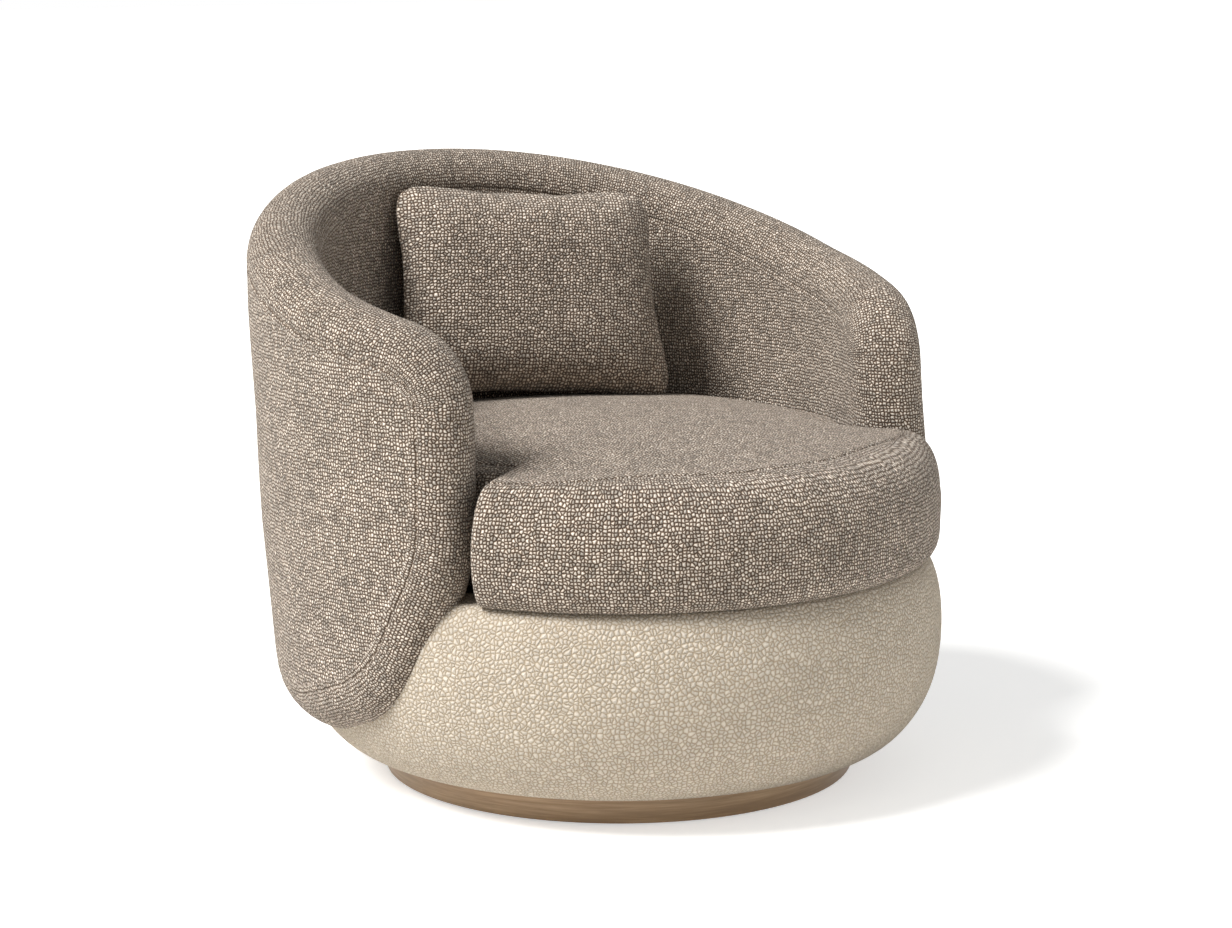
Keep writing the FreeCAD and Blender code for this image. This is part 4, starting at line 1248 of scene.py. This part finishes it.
@dataclass
class Studio:
    """Pale floor, soft lamps and the camera."""

    distance: float = 3.551
    look_height: float = 0.360
    azimuth: float = -36.0
    elevation: float = 10.19
    lens: float = 87.66
    sideways: float = 0.0033

    def camera(self) -> None:
        """Places the camera at the photograph's angle."""
        back = toward(self.azimuth, self.elevation)
        az = math.radians(self.azimuth)
        right = Vector((math.cos(az), math.sin(az), 0.0))
        target = Vector((0.0, 0.0, self.look_height)) - right * self.sideways
        data = bpy.data.cameras.new("camera")
        data.lens = self.lens
        data.sensor_width = 36.0
        eye = bpy.data.objects.new("camera", data)
        eye.location = target + back * self.distance
        eye.rotation_euler = (-back).to_track_quat("-Z", "Y").to_euler()
        bpy.context.scene.collection.objects.link(eye)
        bpy.context.scene.camera = eye

    def lamp(self, name: str, azimuth: float, elevation: float, distance: float, size: float,
             watts: float) -> None:
        """Adds a square soft lamp that faces the chair.

        Args:
            name: the lamp's name.
            azimuth: its bearing in degrees, as for the camera.
            elevation: its height in degrees.
            distance: its distance in metres.
            size: its side in metres.
            watts: its power.
        """
        way = toward(azimuth, elevation)
        data = bpy.data.lights.new(name, "AREA")
        data.size = size
        data.energy = watts
        lamp = bpy.data.objects.new(name, data)
        lamp.location = Vector((0.0, 0.0, 0.35)) + way * distance
        lamp.rotation_euler = (-way).to_track_quat("-Z", "Y").to_euler()
        bpy.context.scene.collection.objects.link(lamp)

    def sun(self, name: str, azimuth: float, elevation: float, spread: float, strength: float) -> None:
        """Adds a distant soft light.

        Args:
            name: the light's name.
            azimuth: its bearing in degrees, as for the camera.
            elevation: its height in degrees.
            spread: its apparent size in degrees.
            strength: its brightness.
        """
        way = toward(azimuth, elevation)
        data = bpy.data.lights.new(name, "SUN")
        data.angle = math.radians(spread)
        data.energy = strength
        light = bpy.data.objects.new(name, data)
        light.location = way * 4.0
        light.rotation_euler = (-way).to_track_quat("-Z", "Y").to_euler()
        bpy.context.scene.collection.objects.link(light)

    def floor(self) -> None:
        """Adds the pale floor, which shows white and keeps the chair's shadow."""
        mesh = bpy.data.meshes.new("studio_floor")
        half = 30.0
        corners = [(-half, -half, 0), (half, -half, 0), (half, half, 0), (-half, half, 0)]
        mesh.from_pydata(corners, [], [(0, 1, 2, 3)])
        floor = bpy.data.objects.new("studio_floor", mesh)
        bpy.context.scene.collection.objects.link(floor)
        paint = bpy.data.materials.new("matt_white_floor")
        paint.use_nodes = True
        tree = paint.node_tree
        tree.nodes.clear()
        rays = add_node(tree, "ShaderNodeLightPath").outputs
        seen = add_node(tree, "ShaderNodeMath", {0: rays["Is Camera Ray"], 1: rays["Is Glossy Ray"]},
                        operation="MAXIMUM").outputs[0]
        seen = add_node(tree, "ShaderNodeMath", {0: seen, 1: rays["Is Transmission Ray"]},
                        operation="MAXIMUM").outputs[0]
        glow = add_node(tree, "ShaderNodeMath", {0: seen, 1: 0.53}, operation="MULTIPLY").outputs[0]
        matt = add_node(tree, "ShaderNodeBsdfDiffuse", {"Color": linear("#f2f1ee")}).outputs[0]
        light = add_node(tree, "ShaderNodeEmission", {"Strength": glow}).outputs[0]
        both = add_node(tree, "ShaderNodeAddShader", {0: matt, 1: light}).outputs[0]
        add_node(tree, "ShaderNodeOutputMaterial", {"Surface": both})
        mesh.materials.append(paint)

    def build(self) -> None:
        """Sets up camera, floor, lamps, world and view."""
        self.camera()
        self.floor()
        self.sun("key", -98.0, 50.0, 24.0, 4.7)
        self.lamp("fill", 20.0, 22.0, 4.0, 3.0, 27.0)
        world = bpy.data.worlds.new("studio")
        world.use_nodes = True
        tree = world.node_tree
        tree.nodes.clear()
        rays = add_node(tree, "ShaderNodeLightPath").outputs
        seen = add_node(tree, "ShaderNodeMath", {0: rays["Is Camera Ray"], 1: rays["Is Transmission Ray"]},
                        operation="MAXIMUM").outputs[0]
        soft = add_node(tree, "ShaderNodeBackground", {
            "Color": linear("#f4f6f8"), "Strength": 0.30}).outputs[0]
        white = add_node(tree, "ShaderNodeBackground", {"Color": (1, 1, 1, 1), "Strength": 1.0}).outputs[0]
        mixed = add_node(tree, "ShaderNodeMixShader", {0: seen, 1: soft, 2: white}).outputs[0]
        add_node(tree, "ShaderNodeOutputWorld", {"Surface": mixed})
        bpy.context.scene.world = world
        bpy.context.scene.view_settings.view_transform = "Standard"


def main() -> None:
    """Builds the chair piece by piece and reports each one."""
    logging.basicConfig(level=logging.INFO, format="%(message)s")
    finishes = Finishes()
    stitches = StitchTree(finishes.thread)
    shell = Shell()
    cushion = SeatCushion()
    pieces = shell.build(finishes, stitches)
    pieces += Base().build(finishes)
    pieces += cushion.build(finishes)
    pieces += ScatterPillow().build(finishes, cushion, shell)
    for piece in pieces:
        LOG.info("%s: %d faces", piece.name, len(piece.data.polygons))
    LOG.info("%d hard nodes dressed", Chassis().dress(finishes))
    Studio().build()


if __name__ == "__main__":
    main()
